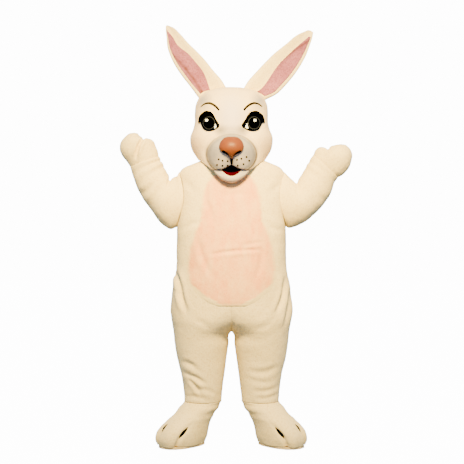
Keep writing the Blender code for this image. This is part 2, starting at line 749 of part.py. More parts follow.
def head_point(level, bearing):
    """Head surface: level sections above, drawn to the lower edge near the bottom."""
    low = HEAD_LEVELS[0]
    plain = head_section(level, bearing)
    share = max(0.0, 1 - (level - low) / (RIM_BLEND_TOP - low)) ** 2
    return plain + (rim_point(bearing) - head_section(low, bearing)) * share


def make_head():
    bearings = [*HEAD_BEARINGS, *[-b for b in HEAD_BEARINGS[-2:0:-1]]]
    rows = []
    for level in HEAD_LEVELS:
        ring = [head_point(level, abs(b)) * np.array([math.copysign(1, b), 1, 1]) for b in bearings]
        rows.append(ring)
    outer = np.array(rows)
    middles = np.array([HEAD_MIDDLE] * len(rows))
    inner = outer - outward(outer, grid_normals(outer, True), middles) * HEAD_WALL
    tips = (np.array([0.0, 0.0, HEAD_TOP]), np.array([0.0, 0.0, HEAD_TOP - HEAD_WALL]))
    two_sheets("head_shell", outer, inner, True, "cream_plush", cap=tips)


def face_front(x, z):
    """Point of the head seen at x, z from straight ahead, found by repeated correction."""
    low = HEAD_LEVELS[0]
    level = z
    across = abs(x)
    for _ in range(HALVINGS):
        sine = min(1.0, across / head_size(level)[0]) ** (HEAD_SQUARENESS / 2)
        bearing = math.degrees(math.asin(sine))
        share = max(0.0, 1 - (level - low) / (RIM_BLEND_TOP - low)) ** 2
        shift = (rim_point(bearing) - head_section(low, bearing)) * share
        level = max(low, z - shift[2])
        across = max(0.0, abs(x) - shift[0])
    return np.array([x, head_section(level, bearing)[1] + shift[1], z])


def face_surface(middle, side=1.0):
    """Surface function of the face round a place given in front view."""
    def surface(u, v):
        x = side * (middle[0] + u)
        z = middle[1] + v
        over = face_front(x + STEP, z) - face_front(x - STEP, z)
        up = face_front(x, z + STEP) - face_front(x, z - STEP)
        normal = np.cross(over, up)
        return face_front(x, z), normal / np.linalg.norm(normal)

    return surface


def nose_shape(across, up):
    """A wide rounded triangle with its point down."""
    if up < 0:
        across *= 1 + 0.45 * up
        up *= 1.15
    return across, up


def eye_shape(across, up):
    """A tall eye, leaning in at its lower inner corner."""
    return across - 0.22 * min(0.0, up) * min(0.0, across), up


def make_face():
    make_patch("nose", face_surface(NOSE_MIDDLE), NOSE_HALF, NOSE_LIFT, NOSE_REACH, "coral_vinyl", nose_shape)
    for side, label in ((1.0, "left"), (-1.0, "right")):
        make_patch(f"eye_{label}", face_surface(EYE_MIDDLE, side), EYE_HALF, EYE_LIFT, EYE_REACH,
                   "black_gloss", eye_shape)


def jaw_rows():
    rows = []
    for middle_y, corner_y, middle_z, corner_z in JAW:
        row = []
        for k in range(JAW_COLUMNS + 1):
            b = 2 * k / JAW_COLUMNS - 1
            row.append((JAW_HALF_WIDTH * b, middle_y + (corner_y - middle_y) * b * b,
                        middle_z + (corner_z - middle_z) * b * b))
        rows.append(row)
    for k, (x, y, _) in enumerate(rows[0]):
        b = x / JAW_HALF_WIDTH
        rows[0][k] = (x, y, min(MOUTH_LOW + MOUTH_CURVE * x * x, JAW[0][3] + JAW_TUCK * (1 - b * b)))
    return np.array(rows)


def make_jaw():
    """The furred jaw, the red lip on its top edge and the dark lining behind the mouth."""
    outer = jaw_rows()
    middles = outer.mean(axis=1) + np.array(JAW_INSIDE)
    inner = outer - outward(outer, grid_normals(outer, False), middles) * CLOTH
    two_sheets("jaw", outer, inner, False, "grey_plush")
    edge = outer[0, 2:-2]
    full = 1 - (edge[:, :1] / edge[-1, 0]) ** 2
    front = np.array([edge + np.array(LIP_LOW), edge + np.array(LIP_HIGH) + full * (0.0, 0.0, LIP_FULL)])
    back = front + np.array([0.0, LIP_DEPTH, 0.0])
    two_sheets("lip", front, back, False, "red_vinyl")
    low = outer[0, 1:-1] + np.array(LIP_LOW) + np.array([0.0, LIP_DEPTH + BUTT, 0.0])
    high = low * np.array([1.0, 1.0, 0.0]) + np.array([0.0, LINING_LEAN, MOUTH_TOP])
    middle = (low + high) / 2 + np.array([0.0, LINING_HOLLOW, 0.0])
    lining = np.array([low, middle, high])
    two_sheets("mouth_lining", lining, lining + np.array([0.0, CLOTH, 0.0]), False, "black_felt")


def head_top_z(x, y):
    """Height of the head's upper surface over a place in plan, found by halving."""
    low, high = HEAD_MIDDLE[2], HEAD_TOP
    for _ in range(HALVINGS):
        z = (low + high) / 2
        half_width, front, back = head_size(z)
        depth = front if y < 0 else back
        inside = (abs(x) / half_width) ** HEAD_SQUARENESS + (abs(y) / depth) ** HEAD_SQUARENESS
        if inside < 1:
            low = z
        else:
            high = z
    return low


def ear_ring(row):
    """Flattened ring of an ear; its first half turn is the ear's front face, from the outer edge."""
    outer_x, outer_z, inner_x, inner_z, half_depth, y = row
    ring = []
    for k in range(EAR_COLUMNS):
        angle = 2 * math.pi * k / EAR_COLUMNS
        share = (1 - math.cos(angle)) / 2
        hollow = EAR_HOLLOW * math.sin(math.pi * share) ** 1.5 if 0 < angle < math.pi else 0.0
        ring.append((outer_x + (inner_x - outer_x) * share, y + half_depth * (hollow - math.sin(angle)),
                     outer_z + (inner_z - outer_z) * share))
    return np.array(ring)


def on_facets(grid, row, column):
    """Read a grid of points between its rows and columns, on the triangles that join them."""
    i = min(int(row), len(grid) - 2)
    j = int(column)
    v = row - i
    u = column - j
    a, b, c, d = grid[i, j], grid[i, j + 1], grid[i + 1, j + 1], grid[i + 1, j]
    if u > v:
        return a + (b - a) * u + (c - b) * v
    return a + (d - a) * v + (c - d) * u


def make_ear(side):
    rings = np.array([ear_ring(row) for row in EARS[side]])
    for point in rings[0]:
        point[2] = head_top_z(point[0], point[1]) + EAR_GAP
    flip = np.array([1.0 if side == "left" else -1.0, 1.0, 1.0])
    base = rings[0].mean(axis=0)
    base[2] = head_top_z(base[0], base[1]) + EAR_SOCKET
    tip = rings[-1].mean(axis=0) + np.array([0.0, 0.0, EAR_TIP])
    rows, columns = rings.shape[:2]
    points = [*(rings * flip).reshape(-1, 3), base * flip, tip * flip]
    faces = []
    for i in range(rows - 1):
        for j in range(columns):
            a = i * columns + j
            b = i * columns + (j + 1) % columns
            faces.append((a, b, b + columns))
            faces.append((a, b + columns, a + columns))
    for j in range(columns):
        following = (j + 1) % columns
        faces.append((following, j, rows * columns))
        faces.append(((rows - 1) * columns + j, (rows - 1) * columns + following, rows * columns + 1))
    make_object(f"ear_{side}", points, faces, "cream_plush")
    normals = outward(rings, grid_normals(rings, True), rings.mean(axis=1))
    face = np.array([[on_facets(rings, row[0], c) for c in row[1:]] for row in LININGS[side]])
    out = np.array([[on_facets(normals, row[0], c) for c in row[1:]] for row in LININGS[side]])
    under = (face + out * LINING_LIFT) * flip
    top = (face + out * (LINING_LIFT + LINING_THICKNESS)) * flip
    two_sheets(f"ear_lining_{side}", top, under, False, "pink_plush")


# ---------------------------------------------------------------- zip

def back_line(z):
    """Centre-back point of the suit's own facets at a height."""
    levels = np.array(body_levels())[::-1]
    outer, _, _ = body_sheets(1)
    return float(np.interp(z, levels, outer[::-1, -1, 1]))


def box_object(name, low, high, finish, place):
    points = [(x, y, z) for x in (low[0], high[0]) for y in (low[1], high[1]) for z in (low[2], high[2])]
    faces = [(0, 1, 3, 2), (4, 6, 7, 5), (0, 4, 5, 1), (2, 3, 7, 6), (0, 2, 6, 4), (1, 5, 7, 3)]
    return make_object(name, [place(p) for p in points], faces, finish)


def rod(name, centre, radius, half_length, finish, place):
    """A round rod along X."""
    ring = [2 * math.pi * k / ROD_SIDES for k in range(ROD_SIDES)]
    points = [(end * half_length, centre[1] + radius * math.cos(a), centre[2] + radius * math.sin(a))
              for end in (-1, 1) for a in ring]
    faces = [tuple(range(ROD_SIDES))[::-1], tuple(range(ROD_SIDES, 2 * ROD_SIDES))]
    for k in range(ROD_SIDES):
        following = (k + 1) % ROD_SIDES
        faces.append((k, following, ROD_SIDES + following, ROD_SIDES + k))
    return make_object(name, [place(p) for p in points], faces, finish)


def combine(target, other, operation):
    """Union another closed object into the target, or cut it away."""
    step = target.modifiers.new(operation.lower(), "BOOLEAN")
    step.operation = operation
    step.solver = "EXACT"
    step.object = other
    other.hide_render = True
    other.display_type = "WIRE"


def zip_frame():
    """Place things drawn with y out of the back and z up along it, about the slider's middle."""
    step = SLIDER_SIZE[2] / 2
    rise = back_line(SLIDER_Z - step) - back_line(SLIDER_Z + step)
    tilt = math.atan2(rise, 2 * step)
    middle_y = back_line(SLIDER_Z)

    def place(point):
        x, y, z = point
        return np.array([x, middle_y + y * math.cos(tilt) - z * math.sin(tilt),
                         SLIDER_Z + y * math.sin(tilt) + z * math.cos(tilt)])

    return place


def make_zip():
    heights = [ZIP_TOP, *[z for z in body_levels() if ZIP_BOTTOM < z < ZIP_TOP], ZIP_BOTTOM]
    line = np.array([(0.0, back_line(z), z) for z in heights])
    edges = np.stack([line + np.array([side * ZIP_HALF_WIDTH, ZIP_LIFT, 0.0]) for side in (-1, 1)], axis=1)
    two_sheets("zip_chain", edges + np.array([0.0, ZIP_THICKNESS, 0.0]), edges, False, "zip_tape")

    place = zip_frame()
    width, depth, height = SLIDER_SIZE
    base = ZIP_LIFT + ZIP_THICKNESS + SEAM
    plate = base + depth
    slider = box_object("zip_slider", (-width / 2, base, -height / 2), (width / 2, plate, height / 2),
                        "zip_metal", place)
    pin = (0.0, plate + PIN_SETBACK, 0.0)
    for side in (-1, 1):
        across = sorted((side * (width / 2 - SLIDER_CHEEK), side * width / 2))
        cheek = box_object(f"cheek_{side}", (across[0], plate - SEAM, -PULL_HEAD),
                           (across[1], plate + SLIDER_CHEEK_HEIGHT, PULL_HEAD), "zip_metal", place)
        combine(slider, cheek, "UNION")
    bar = rod("bar", pin, PIN_RADIUS, (width - SLIDER_CHEEK) / 2, "zip_metal", place)
    combine(slider, bar, "UNION")

    pull_width, pull_depth, pull_length = PULL_SIZE
    pull = rod("zip_pull", pin, PULL_HEAD, pull_width / 2, "zip_metal", place)
    tab_low = (-pull_width / 2, pin[1] - pull_depth / 2, -pull_length)
    tab_high = (pull_width / 2, pin[1] + pull_depth / 2, -(PULL_EYE + PULL_HEAD) / 2)
    tab = box_object("tab", tab_low, tab_high, "zip_metal", place)
    combine(pull, tab, "UNION")
    eye = rod("eye", pin, PULL_EYE, pull_width, "zip_metal", place)
    combine(pull, eye, "DIFFERENCE")


def main():
    clear_scene()
    make_body()
    make_belly()
    for side in ("left", "right"):
        make_sleeve(side)
        make_mitt(side)
        make_foot(side)
        make_ear(side)
    make_head()
    make_face()
    make_jaw()
    make_zip()


main()
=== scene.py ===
"""Looks of the rabbit mascot costume: plush shells on the suit's own sections, painted face, studio."""
import math

import bpy
import numpy as np
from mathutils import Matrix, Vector, noise
from mathutils.kdtree import KDTree


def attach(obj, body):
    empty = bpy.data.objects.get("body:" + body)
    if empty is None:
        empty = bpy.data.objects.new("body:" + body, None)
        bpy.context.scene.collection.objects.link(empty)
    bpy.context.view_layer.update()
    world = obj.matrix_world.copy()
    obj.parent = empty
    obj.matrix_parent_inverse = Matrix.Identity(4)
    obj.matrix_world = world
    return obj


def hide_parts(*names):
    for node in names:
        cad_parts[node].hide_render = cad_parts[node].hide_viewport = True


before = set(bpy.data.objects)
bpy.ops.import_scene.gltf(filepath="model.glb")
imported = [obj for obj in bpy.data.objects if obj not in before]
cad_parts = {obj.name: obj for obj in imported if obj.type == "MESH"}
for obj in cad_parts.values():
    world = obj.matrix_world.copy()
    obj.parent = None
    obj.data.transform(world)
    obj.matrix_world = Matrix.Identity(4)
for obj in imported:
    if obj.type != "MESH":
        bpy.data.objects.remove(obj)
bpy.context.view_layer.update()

COSTUME = "costume"

# ---------------------------------------------------------------- sizes shared with the frame (metres)
FLOOR = -1.400
SEAM = 0.0003
CLOTH = 0.003
BUTT = 0.0006

BODY_NAMES = ("z", "centre", "half_width", "front", "back", "squareness")
BODY = [
    (0.030, 0.000, 0.115, 0.085, 0.086, 2.2),
    (0.012, 0.000, 0.135, 0.095, 0.098, 2.2),
    (-0.003, 0.000, 0.157, 0.105, 0.108, 2.2),
    (-0.018, 0.000, 0.193, 0.113, 0.117, 2.3),
    (-0.034, 0.000, 0.230, 0.119, 0.125, 2.4),
    (-0.060, 0.000, 0.256, 0.126, 0.135, 2.4),
    (-0.100, 0.000, 0.262, 0.136, 0.146, 2.4),
    (-0.197, 0.000, 0.262, 0.155, 0.160, 2.4),
    (-0.330, 0.000, 0.268, 0.178, 0.166, 2.4),
    (-0.434, 0.000, 0.269, 0.193, 0.170, 2.3),
    (-0.523, 0.000, 0.272, 0.202, 0.176, 2.3),
    (-0.599, 0.000, 0.286, 0.206, 0.182, 2.3),
    (-0.650, 0.000, 0.294, 0.206, 0.186, 2.2),
    (-0.705, 0.000, 0.300, 0.202, 0.188, 2.2),
    (-0.745, 0.045, 0.257, 0.195, 0.186, 2.1),
    (-0.785, 0.092, 0.205, 0.184, 0.180, 2.1),
    (-0.815, 0.124, 0.168, 0.172, 0.172, 2.0),
    (-0.843, 0.1435, 0.1430, 0.160, 0.163, 2.0),
    (-0.907, 0.1466, 0.1316, 0.145, 0.150, 2.0),
    (-0.966, 0.1465, 0.1225, 0.132, 0.137, 2.0),
    (-1.025, 0.1430, 0.1130, 0.121, 0.126, 2.0),
    (-1.085, 0.1412, 0.1038, 0.111, 0.116, 2.0),
    (-1.144, 0.1412, 0.0958, 0.101, 0.104, 2.0),
    (-1.190, 0.1420, 0.0920, 0.0920, 0.0920, 2.0),
]
ARMHOLE_MIDDLE = -0.195
ARMHOLE_HALF_HEIGHT = 0.135
ARMHOLE_HALF_DEPTH = 0.085
NECK_TOP = 0.030
HEM = -1.190
CROTCH = -0.843

BELLY_NAMES = ("z", "half_width")
BELLY = [
    (-0.078, 0.096),
    (-0.123, 0.126),
    (-0.170, 0.143),
    (-0.240, 0.148),
    (-0.300, 0.154),
    (-0.345, 0.177),
    (-0.434, 0.206),
    (-0.523, 0.216),
    (-0.599, 0.202),
    (-0.650, 0.158),
    (-0.685, 0.110),
    (-0.705, 0.068),
]

# Rings along each sleeve, from the shoulder to the wrist: upper edge x, z, lower edge x, z, half depth
SLEEVES = {
    "right": [
        (0.276, -0.079, 0.308, -0.338, 0.091),
        (0.298, -0.0986, 0.3525, -0.3057, 0.093),
        (0.3057, -0.0887, 0.392, -0.2514, 0.090),
        (0.3155, -0.069, 0.4264, -0.202, 0.084),
        (0.330, -0.039, 0.458, -0.150, 0.077),
        (0.3476, -0.005, 0.4807, -0.0937, 0.070),
        (0.359, 0.0168, 0.4999, -0.036, 0.064),
    ],
    "left": [
        (0.2785, -0.077, 0.288, -0.336, 0.091),
        (0.318, -0.1134, 0.368, -0.3050, 0.094),
        (0.330, -0.096, 0.4140, -0.2660, 0.092),
        (0.3476, -0.0666, 0.4530, -0.2240, 0.086),
        (0.367, -0.0296, 0.4900, -0.1660, 0.078),
        (0.3845, 0.0025, 0.510, -0.108, 0.070),
        (0.3993, 0.027, 0.525, -0.0887, 0.064),
    ],
}
# Rows across each mitt, from the wrist to the tips: thumb side x, z, far side x, z, half depth
MITTS = {
    "right": [
        (0.3648, 0.044, 0.5191, -0.005, 0.068),
        (0.3747, 0.069, 0.5408, 0.0246, 0.072),
        (0.3845, 0.0912, 0.5497, 0.0592, 0.072),
        (0.3993, 0.1011, 0.5423, 0.0887, 0.068),
        (0.4141, 0.1025, 0.5241, 0.1114, 0.059),
        (0.4314, 0.1035, 0.5053, 0.1272, 0.044),
        (0.4560, 0.1210, 0.4840, 0.1320, 0.020),
        (0.4610, 0.1290, 0.4790, 0.1335, 0.004),
    ],
    "left": [
        (0.4092, 0.0468, 0.5423, -0.0789, 0.068),
        (0.4264, 0.0626, 0.5645, -0.0567, 0.072),
        (0.4437, 0.0651, 0.5832, -0.0296, 0.072),
        (0.4610, 0.0592, 0.5916, -0.0025, 0.067),
        (0.4782, 0.0592, 0.5955, 0.0246, 0.058),
        (0.4979, 0.0700, 0.5867, 0.0503, 0.044),
        (0.5275, 0.0764, 0.5669, 0.0710, 0.020),
        (0.5340, 0.0775, 0.5600, 0.0745, 0.004),
    ],
}
FOOT_NAMES = ("height", "half_width", "toe_reach", "heel_reach", "squareness", "spread", "ahead", "aside")
FOOT = [
    (0.0123, 0.080, 0.136, 0.122, 2.3, 0.10, 0.108, 0.024),
    (0.040, 0.087, 0.145, 0.130, 2.4, 0.12, 0.106, 0.024),
    (0.070, 0.088, 0.144, 0.130, 2.4, 0.12, 0.100, 0.022),
    (0.098, 0.088, 0.138, 0.124, 2.3, 0.10, 0.088, 0.019),
    (0.120, 0.088, 0.130, 0.117, 2.2, 0.08, 0.074, 0.015),
    (0.145, 0.0885, 0.118, 0.109, 2.1, 0.05, 0.053, 0.010),
    (0.175, 0.090, 0.103, 0.100, 2.0, 0.02, 0.026, 0.005),
    (0.2094, 0.092, 0.092, 0.092, 2.0, 0.00, 0.000, 0.000),
]
ANKLE_X = 0.142
TOE_OUT = math.radians(46)

HEAD_NAMES = ("z", "half_width", "front", "back")
HEAD = [
    (-0.003, 0.1600, 0.150, 0.113),
    (0.018, 0.1760, 0.158, 0.134),
    (0.045, 0.1930, 0.165, 0.154),
    (0.090, 0.2035, 0.168, 0.172),
    (0.110, 0.2035, 0.168, 0.176),
    (0.150, 0.1890, 0.165, 0.181),
    (0.185, 0.1805, 0.160, 0.183),
    (0.230, 0.1800, 0.150, 0.182),
    (0.280, 0.1720, 0.130, 0.172),
    (0.318, 0.1470, 0.100, 0.145),
    (0.343, 0.1020, 0.066, 0.104),
    (0.355, 0.0500, 0.032, 0.052),
]
HEAD_LOW = -0.003
HEAD_TOP = 0.358
HEAD_SQUARENESS = 2.15
HEAD_WALL = 0.004
SNOUT_MIDDLE = 0.036
SNOUT_HALF_WIDTH = 0.130
SNOUT_HALF_HEIGHT = 0.100
SNOUT_REACH = 0.095
SNOUT_BREADTH = 2.4
SNOUT_SOFTNESS = 1.2
RIM_NAMES = ("bearing", "x", "y", "z")
RIM = [
    (0, 0.000, -0.215, -0.0300),
    (7, 0.022, -0.216, -0.0410),
    (14, 0.045, -0.210, -0.0505),
    (22, 0.068, -0.197, -0.0532),
    (30, 0.086, -0.176, -0.0540),
    (38, 0.101, -0.152, -0.046),
    (47, 0.118, -0.129, -0.033),
    (57, 0.135, -0.105, -0.020),
    (68, 0.150, -0.075, -0.009),
    (80, 0.1605, -0.030, -0.003),
]
RIM_BLEND_TOP = 0.060
NECK_CLEARANCE = 0.0014

# Rows of the chin from its upper edge down: y in the middle and at the corners, then z the same way
JAW = [
    (-0.203, -0.1762, -0.0830, -0.0544),
    (-0.207, -0.1755, -0.0920, -0.0572),
    (-0.203, -0.1735, -0.1040, -0.0588),
    (-0.190, -0.1710, -0.1135, -0.0600),
    (-0.172, -0.1680, -0.1150, -0.0606),
]
JAW_HALF_WIDTH = 0.084
MOUTH_LOW = -0.0830
MOUTH_CURVE = 12.2
JAW_TUCK = 0.0120
EAR_HOLLOW = 1.05
# Inner edge of each ear's pink lining: ear row, then ear column of twelve round the ear
EAR_LININGS = {
    "right": [(0.20, 2.8), (1.00, 3.25), (2.00, 3.7), (3.00, 3.7), (4.00, 3.6), (5.00, 3.0), (6.00, 2.6),
              (7.00, 1.5)],
    "left": [(0.20, 2.8), (1.00, 3.0), (2.00, 3.1), (3.00, 3.3), (4.00, 3.4), (5.00, 3.25), (6.00, 2.9),
             (7.00, 2.0)],
}
LINING_OUTER = 1.25
# Where the crease of each ear runs in front view
EAR_CREASES = {
    "right": [(0.3094, 0.5361), (0.2662, 0.4930), (0.2231, 0.4437), (0.1861, 0.4006), (0.1553, 0.3574),
              (0.1467, 0.3266)],
    "left": [(0.3254, 0.5546), (0.2638, 0.5053), (0.2021, 0.4499), (0.1590, 0.3944), (0.1282, 0.3328)],
}

# Rings up each ear: outer edge x, z, inner edge x, z, half depth, y
EARS = {
    "right": [
        (0.1580, 0.305, 0.0240, 0.358, 0.034, 0.030),
        (0.2046, 0.3648, 0.0518, 0.3993, 0.032, 0.034),
        (0.2440, 0.4166, 0.0912, 0.4462, 0.030, 0.040),
        (0.2761, 0.4634, 0.1306, 0.4955, 0.027, 0.046),
        (0.3007, 0.5103, 0.1726, 0.5398, 0.023, 0.052),
        (0.3165, 0.5571, 0.2145, 0.5807, 0.019, 0.058),
        (0.3229, 0.6113, 0.2564, 0.6286, 0.014, 0.064),
        (0.3264, 0.6458, 0.2894, 0.6591, 0.009, 0.067),
        (0.3269, 0.6655, 0.3155, 0.6704, 0.004, 0.069),
    ],
    "left": [
        (0.1620, 0.288, 0.0560, 0.3530, 0.034, 0.030),
        (0.2243, 0.3278, 0.0789, 0.3870, 0.032, 0.034),
        (0.2613, 0.3648, 0.1035, 0.4166, 0.030, 0.040),
        (0.2983, 0.4067, 0.1331, 0.4486, 0.027, 0.046),
        (0.3328, 0.4536, 0.1676, 0.4856, 0.023, 0.052),
        (0.3638, 0.5078, 0.2145, 0.5310, 0.019, 0.058),
        (0.3860, 0.5620, 0.2687, 0.5758, 0.014, 0.064),
        (0.4008, 0.6088, 0.3303, 0.6251, 0.009, 0.067),
        (0.4062, 0.6360, 0.3796, 0.6468, 0.004, 0.069),
    ],
}

# ---------------------------------------------------------------- looks: folds, in front view
# Each fold runs from x, z to x, z; then how far it sags, its width and its depth
FRONT_FOLDS = [
    (-0.278, -0.545, -0.238, -0.706, 0.010, 0.011, 0.0160),
    (-0.262, -0.640, -0.215, -0.742, 0.006, 0.012, 0.0080),
    (0.262, -0.578, 0.220, -0.735, 0.010, 0.011, 0.0140),
    (0.286, -0.648, 0.262, -0.800, 0.006, 0.011, 0.0110),
    (0.016, -0.742, 0.004, -0.818, 0.003, 0.009, 0.0035),
    (-0.185, -0.772, -0.110, -0.812, 0.010, 0.014, 0.0030),
    (0.195, -0.778, 0.115, -0.812, 0.010, 0.014, 0.0030),
    (-0.090, -0.458, 0.130, -0.436, 0.006, 0.008, 0.0075),
    (0.030, -0.428, 0.150, -0.400, 0.006, 0.009, 0.0035),
    (-0.158, -0.385, -0.092, -0.560, -0.010, 0.013, 0.0050),
    (0.142, -0.420, 0.116, -0.570, 0.010, 0.012, 0.0050),
    (-0.125, -0.195, -0.085, -0.330, 0.008, 0.012, 0.0035),
    (-0.060, -0.180, 0.075, -0.172, 0.006, 0.014, 0.0030),
    (0.070, -0.300, 0.110, -0.415, 0.008, 0.011, 0.0045),
    (-0.120, -0.130, -0.128, -0.300, 0.006, 0.012, 0.0035),
    (-0.235, -0.985, -0.172, -1.010, 0.006, 0.012, 0.0080),
    (-0.228, -1.040, -0.132, -1.086, 0.006, 0.010, 0.0100),
    (-0.206, -1.068, -0.150, -1.142, 0.004, 0.009, 0.0090),
    (-0.170, -1.118, -0.085, -1.140, 0.008, 0.011, 0.0040),
    (0.215, -1.012, 0.090, -1.030, 0.012, 0.014, 0.0060),
    (0.190, -1.082, 0.080, -1.066, 0.006, 0.012, 0.0030),
    (0.222, -1.112, 0.110, -1.128, 0.008, 0.012, 0.0050),
    (0.228, -1.146, 0.120, -1.160, 0.008, 0.010, 0.0050),
    (-0.225, -1.160, -0.120, -1.170, 0.008, 0.010, 0.0050),
    (0.240, -0.345, 0.165, -0.300, 0.010, 0.014, 0.0050),
    (-0.238, -0.345, -0.160, -0.305, 0.010, 0.014, 0.0050),
    (0.236, -0.110, 0.180, -0.165, 0.006, 0.016, 0.0040),
    (-0.236, -0.108, -0.178, -0.160, 0.006, 0.016, 0.0040),
]
BACK_FOLDS = [
    (-0.200, -0.480, 0.170, -0.500, 0.020, 0.020, 0.0060),
    (-0.130, -0.545, 0.210, -0.530, 0.018, 0.016, 0.0050),
    (-0.235, -0.800, -0.030, -0.838, 0.018, 0.015, 0.0080),
    (0.235, -0.806, 0.030, -0.840, 0.020, 0.015, 0.0080),
    (-0.220, -0.985, -0.070, -0.995, 0.014, 0.013, 0.0060),
    (0.215, -0.975, 0.065, -0.990, 0.014, 0.013, 0.0060),
    (-0.215, -1.035, -0.085, -1.045, 0.010, 0.012, 0.0045),
    (0.210, -1.030, 0.080, -1.046, 0.012, 0.012, 0.0050),
    (-0.215, -1.150, -0.070, -1.160, 0.010, 0.010, 0.0055),
    (0.215, -1.145, 0.070, -1.158, 0.010, 0.010, 0.0055),
    (-0.236, -0.340, -0.150, -0.290, 0.012, 0.016, 0.0055),
    (0.236, -0.340, 0.150, -0.285, 0.012, 0.016, 0.0055),
    (-0.205, -0.130, -0.140, -0.220, 0.010, 0.018, 0.0040),
    (0.205, -0.130, 0.145, -0.215, 0.010, 0.018, 0.0040),
]
# Sleeve folds run across the arm: station along the sleeve, turn round it, spread, width, depth
SLEEVE_FOLDS = [
    (0.10, 0.00, 1.3, 0.020, 0.0050),
    (0.29, 0.05, 0.8, 0.022, 0.0060),
    (0.39, -0.50, 0.7, 0.018, 0.0060),
    (0.47, 0.50, 0.6, 0.016, 0.0045),
    (0.60, 0.72, 0.4, 0.013, 0.0060),
    (0.74, 0.22, 0.5, 0.014, 0.0050),
    (0.87, 0.36, 0.8, 0.012, 0.0080),
]
SLEEVE_FOLD_STRENGTH = {"right": 1.0, "left": 0.4}
# The fold beside each thumb
MITT_CREASES = {
    "right": (0.4300, 0.1060, 0.4660, 0.0120, 0.006, 0.0075, 0.0190),
    "left": (0.4690, 0.0630, 0.4840, 0.0220, 0.004, 0.0080, 0.0090),
}


# ---------------------------------------------------------------- numbers and curves

def table(names, rows):
    """Turn rows of numbers into one array for each named column."""
    return dict(zip(names, np.array(rows, dtype=float).T))


def hermite(keys, values, where):
    """Cubic curve through values at rising keys; values may be numbers or arrays of points."""
    slopes = np.gradient(values, keys, axis=0)
    where = np.clip(where, keys[0], keys[-1])
    i = np.clip(np.searchsorted(keys, where) - 1, 0, len(keys) - 2)
    width = keys[i + 1] - keys[i]
    s = (where - keys[i]) / width
    if np.ndim(values) > 1:
        s = s.reshape(-1, *([1] * (np.ndim(values) - 1)))
        width = width.reshape(s.shape)
    rise = values[i] * (1 + 2 * s) * (1 - s) ** 2 + values[i + 1] * s * s * (3 - 2 * s)
    return rise + width * (slopes[i] * s * (1 - s) ** 2 - slopes[i + 1] * s * s * (1 - s))


def read(columns, key, name, where):
    keys = columns[key]
    values = columns[name]
    if keys[0] > keys[-1]:
        keys = keys[::-1]
        values = values[::-1]
    return hermite(keys, values, where)


def signed_power(value, power):
    return np.sign(value) * np.abs(value) ** power


BODY_TABLE = table(BODY_NAMES, BODY)
BELLY_TABLE = table(BELLY_NAMES, BELLY)
FOOT_TABLE = table(FOOT_NAMES, FOOT)
HEAD_TABLE = table(HEAD_NAMES, HEAD)
RIM_TABLE = table(RIM_NAMES, RIM)


# ---------------------------------------------------------------- meshes

def grid_normals(grid, closed):
    if closed:
        along = np.roll(grid, -1, axis=1) - np.roll(grid, 1, axis=1)
    else:
        along = np.gradient(grid, axis=1)
    across = np.gradient(grid, axis=0)
    normals = np.cross(along, across)
    length = np.linalg.norm(normals, axis=2, keepdims=True)
    return normals / np.maximum(length, 1e-12)


def outward(grid, normals, middles):
    away = np.sum(normals * (grid - middles[:, None, :]))
    return normals if away > 0 else -normals


def make_mesh(name, points, faces, finish, smooth=True):
    mesh = bpy.data.meshes.new(name)
    mesh.from_pydata(np.asarray(points, dtype=float).reshape(-1, 3).tolist(), [], faces)
    mesh.validate()
    if smooth:
        mesh.shade_smooth()
    mesh.materials.append(finish)
    made = bpy.data.objects.new(name, mesh)
    bpy.context.scene.collection.objects.link(made)
    return made


def wall(name, outer, inner, closed, finish, cap=None):
    """Two sheets of points joined at their free edges; cap = (outer, inner) points past the last row."""
    rows, columns = outer.shape[:2]
    half = rows * columns
    index = np.arange(half).reshape(rows, columns)
    if closed:
        index = np.concatenate([index, index[:, :1]], axis=1)
    a, b, c, d = index[:-1, :-1], index[:-1, 1:], index[1:, 1:], index[1:, :-1]
    sheet = np.stack([a, b, c, d], axis=-1).reshape(-1, 4)
    faces = sheet.tolist() + (sheet[:, ::-1] + half).tolist()

    def stitch(line):
        line = np.asarray(line)
        faces.extend(np.stack([line[1:], line[:-1], line[:-1] + half, line[1:] + half], axis=-1).tolist())

    stitch(index[0])
    if cap is None:
        stitch(index[-1][::-1])
    if not closed:
        stitch(index[:, 0][::-1])
        stitch(index[:, -1])
    points = [outer.reshape(-1, 3), inner.reshape(-1, 3)]
    if cap is not None:
        points.append(np.array(cap))
        last = index[-1]
        faces += [[int(last[j]), int(last[j + 1]), 2 * half] for j in range(len(last) - 1)]
        faces += [[int(last[j + 1]) + half, int(last[j]) + half, 2 * half + 1] for j in range(len(last) - 1)]
    points = np.concatenate(points)
    made = make_mesh(name, points, faces, finish)
    if signed_volume(made.data) < 0:
        made.data.flip_normals()
    return made


def signed_volume(mesh):
    count = len(mesh.loop_triangles)
    corners = np.empty(count * 3, dtype=np.int32)
    mesh.loop_triangles.foreach_get("vertices", corners)
    points = np.empty(len(mesh.vertices) * 3)
    mesh.vertices.foreach_get("co", points)
    tri = points.reshape(-1, 3)[corners.reshape(-1, 3)]
    return float(np.sum(tri[:, 0] * np.cross(tri[:, 1], tri[:, 2])) / 6)


def mirrored(grid):
    return grid * np.array([-1.0, 1.0, 1.0])


def cloth_piece(made, node):
    """Hide the CAD node that a cloth piece stands for, and let the piece ride on the costume's body."""
    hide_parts(node)
    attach(made, COSTUME)
    return made


def hard_piece(made, slot, *nodes):
    if nodes:
        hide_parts(*nodes)
    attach(made, COSTUME)
    return made


def dress_node(node, finish):
    """Give its finish to a CAD node that shows as it is."""
    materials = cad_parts[node].data.materials
    materials.clear()
    materials.append(finish)


# ---------------------------------------------------------------- soft relief of the plush

# Size and height of each wave, from loose cloth down to single tufts
PILE = [(0.260, 0.0045), (0.085, 0.0018), (0.030, 0.0009), (0.013, 0.0006)]
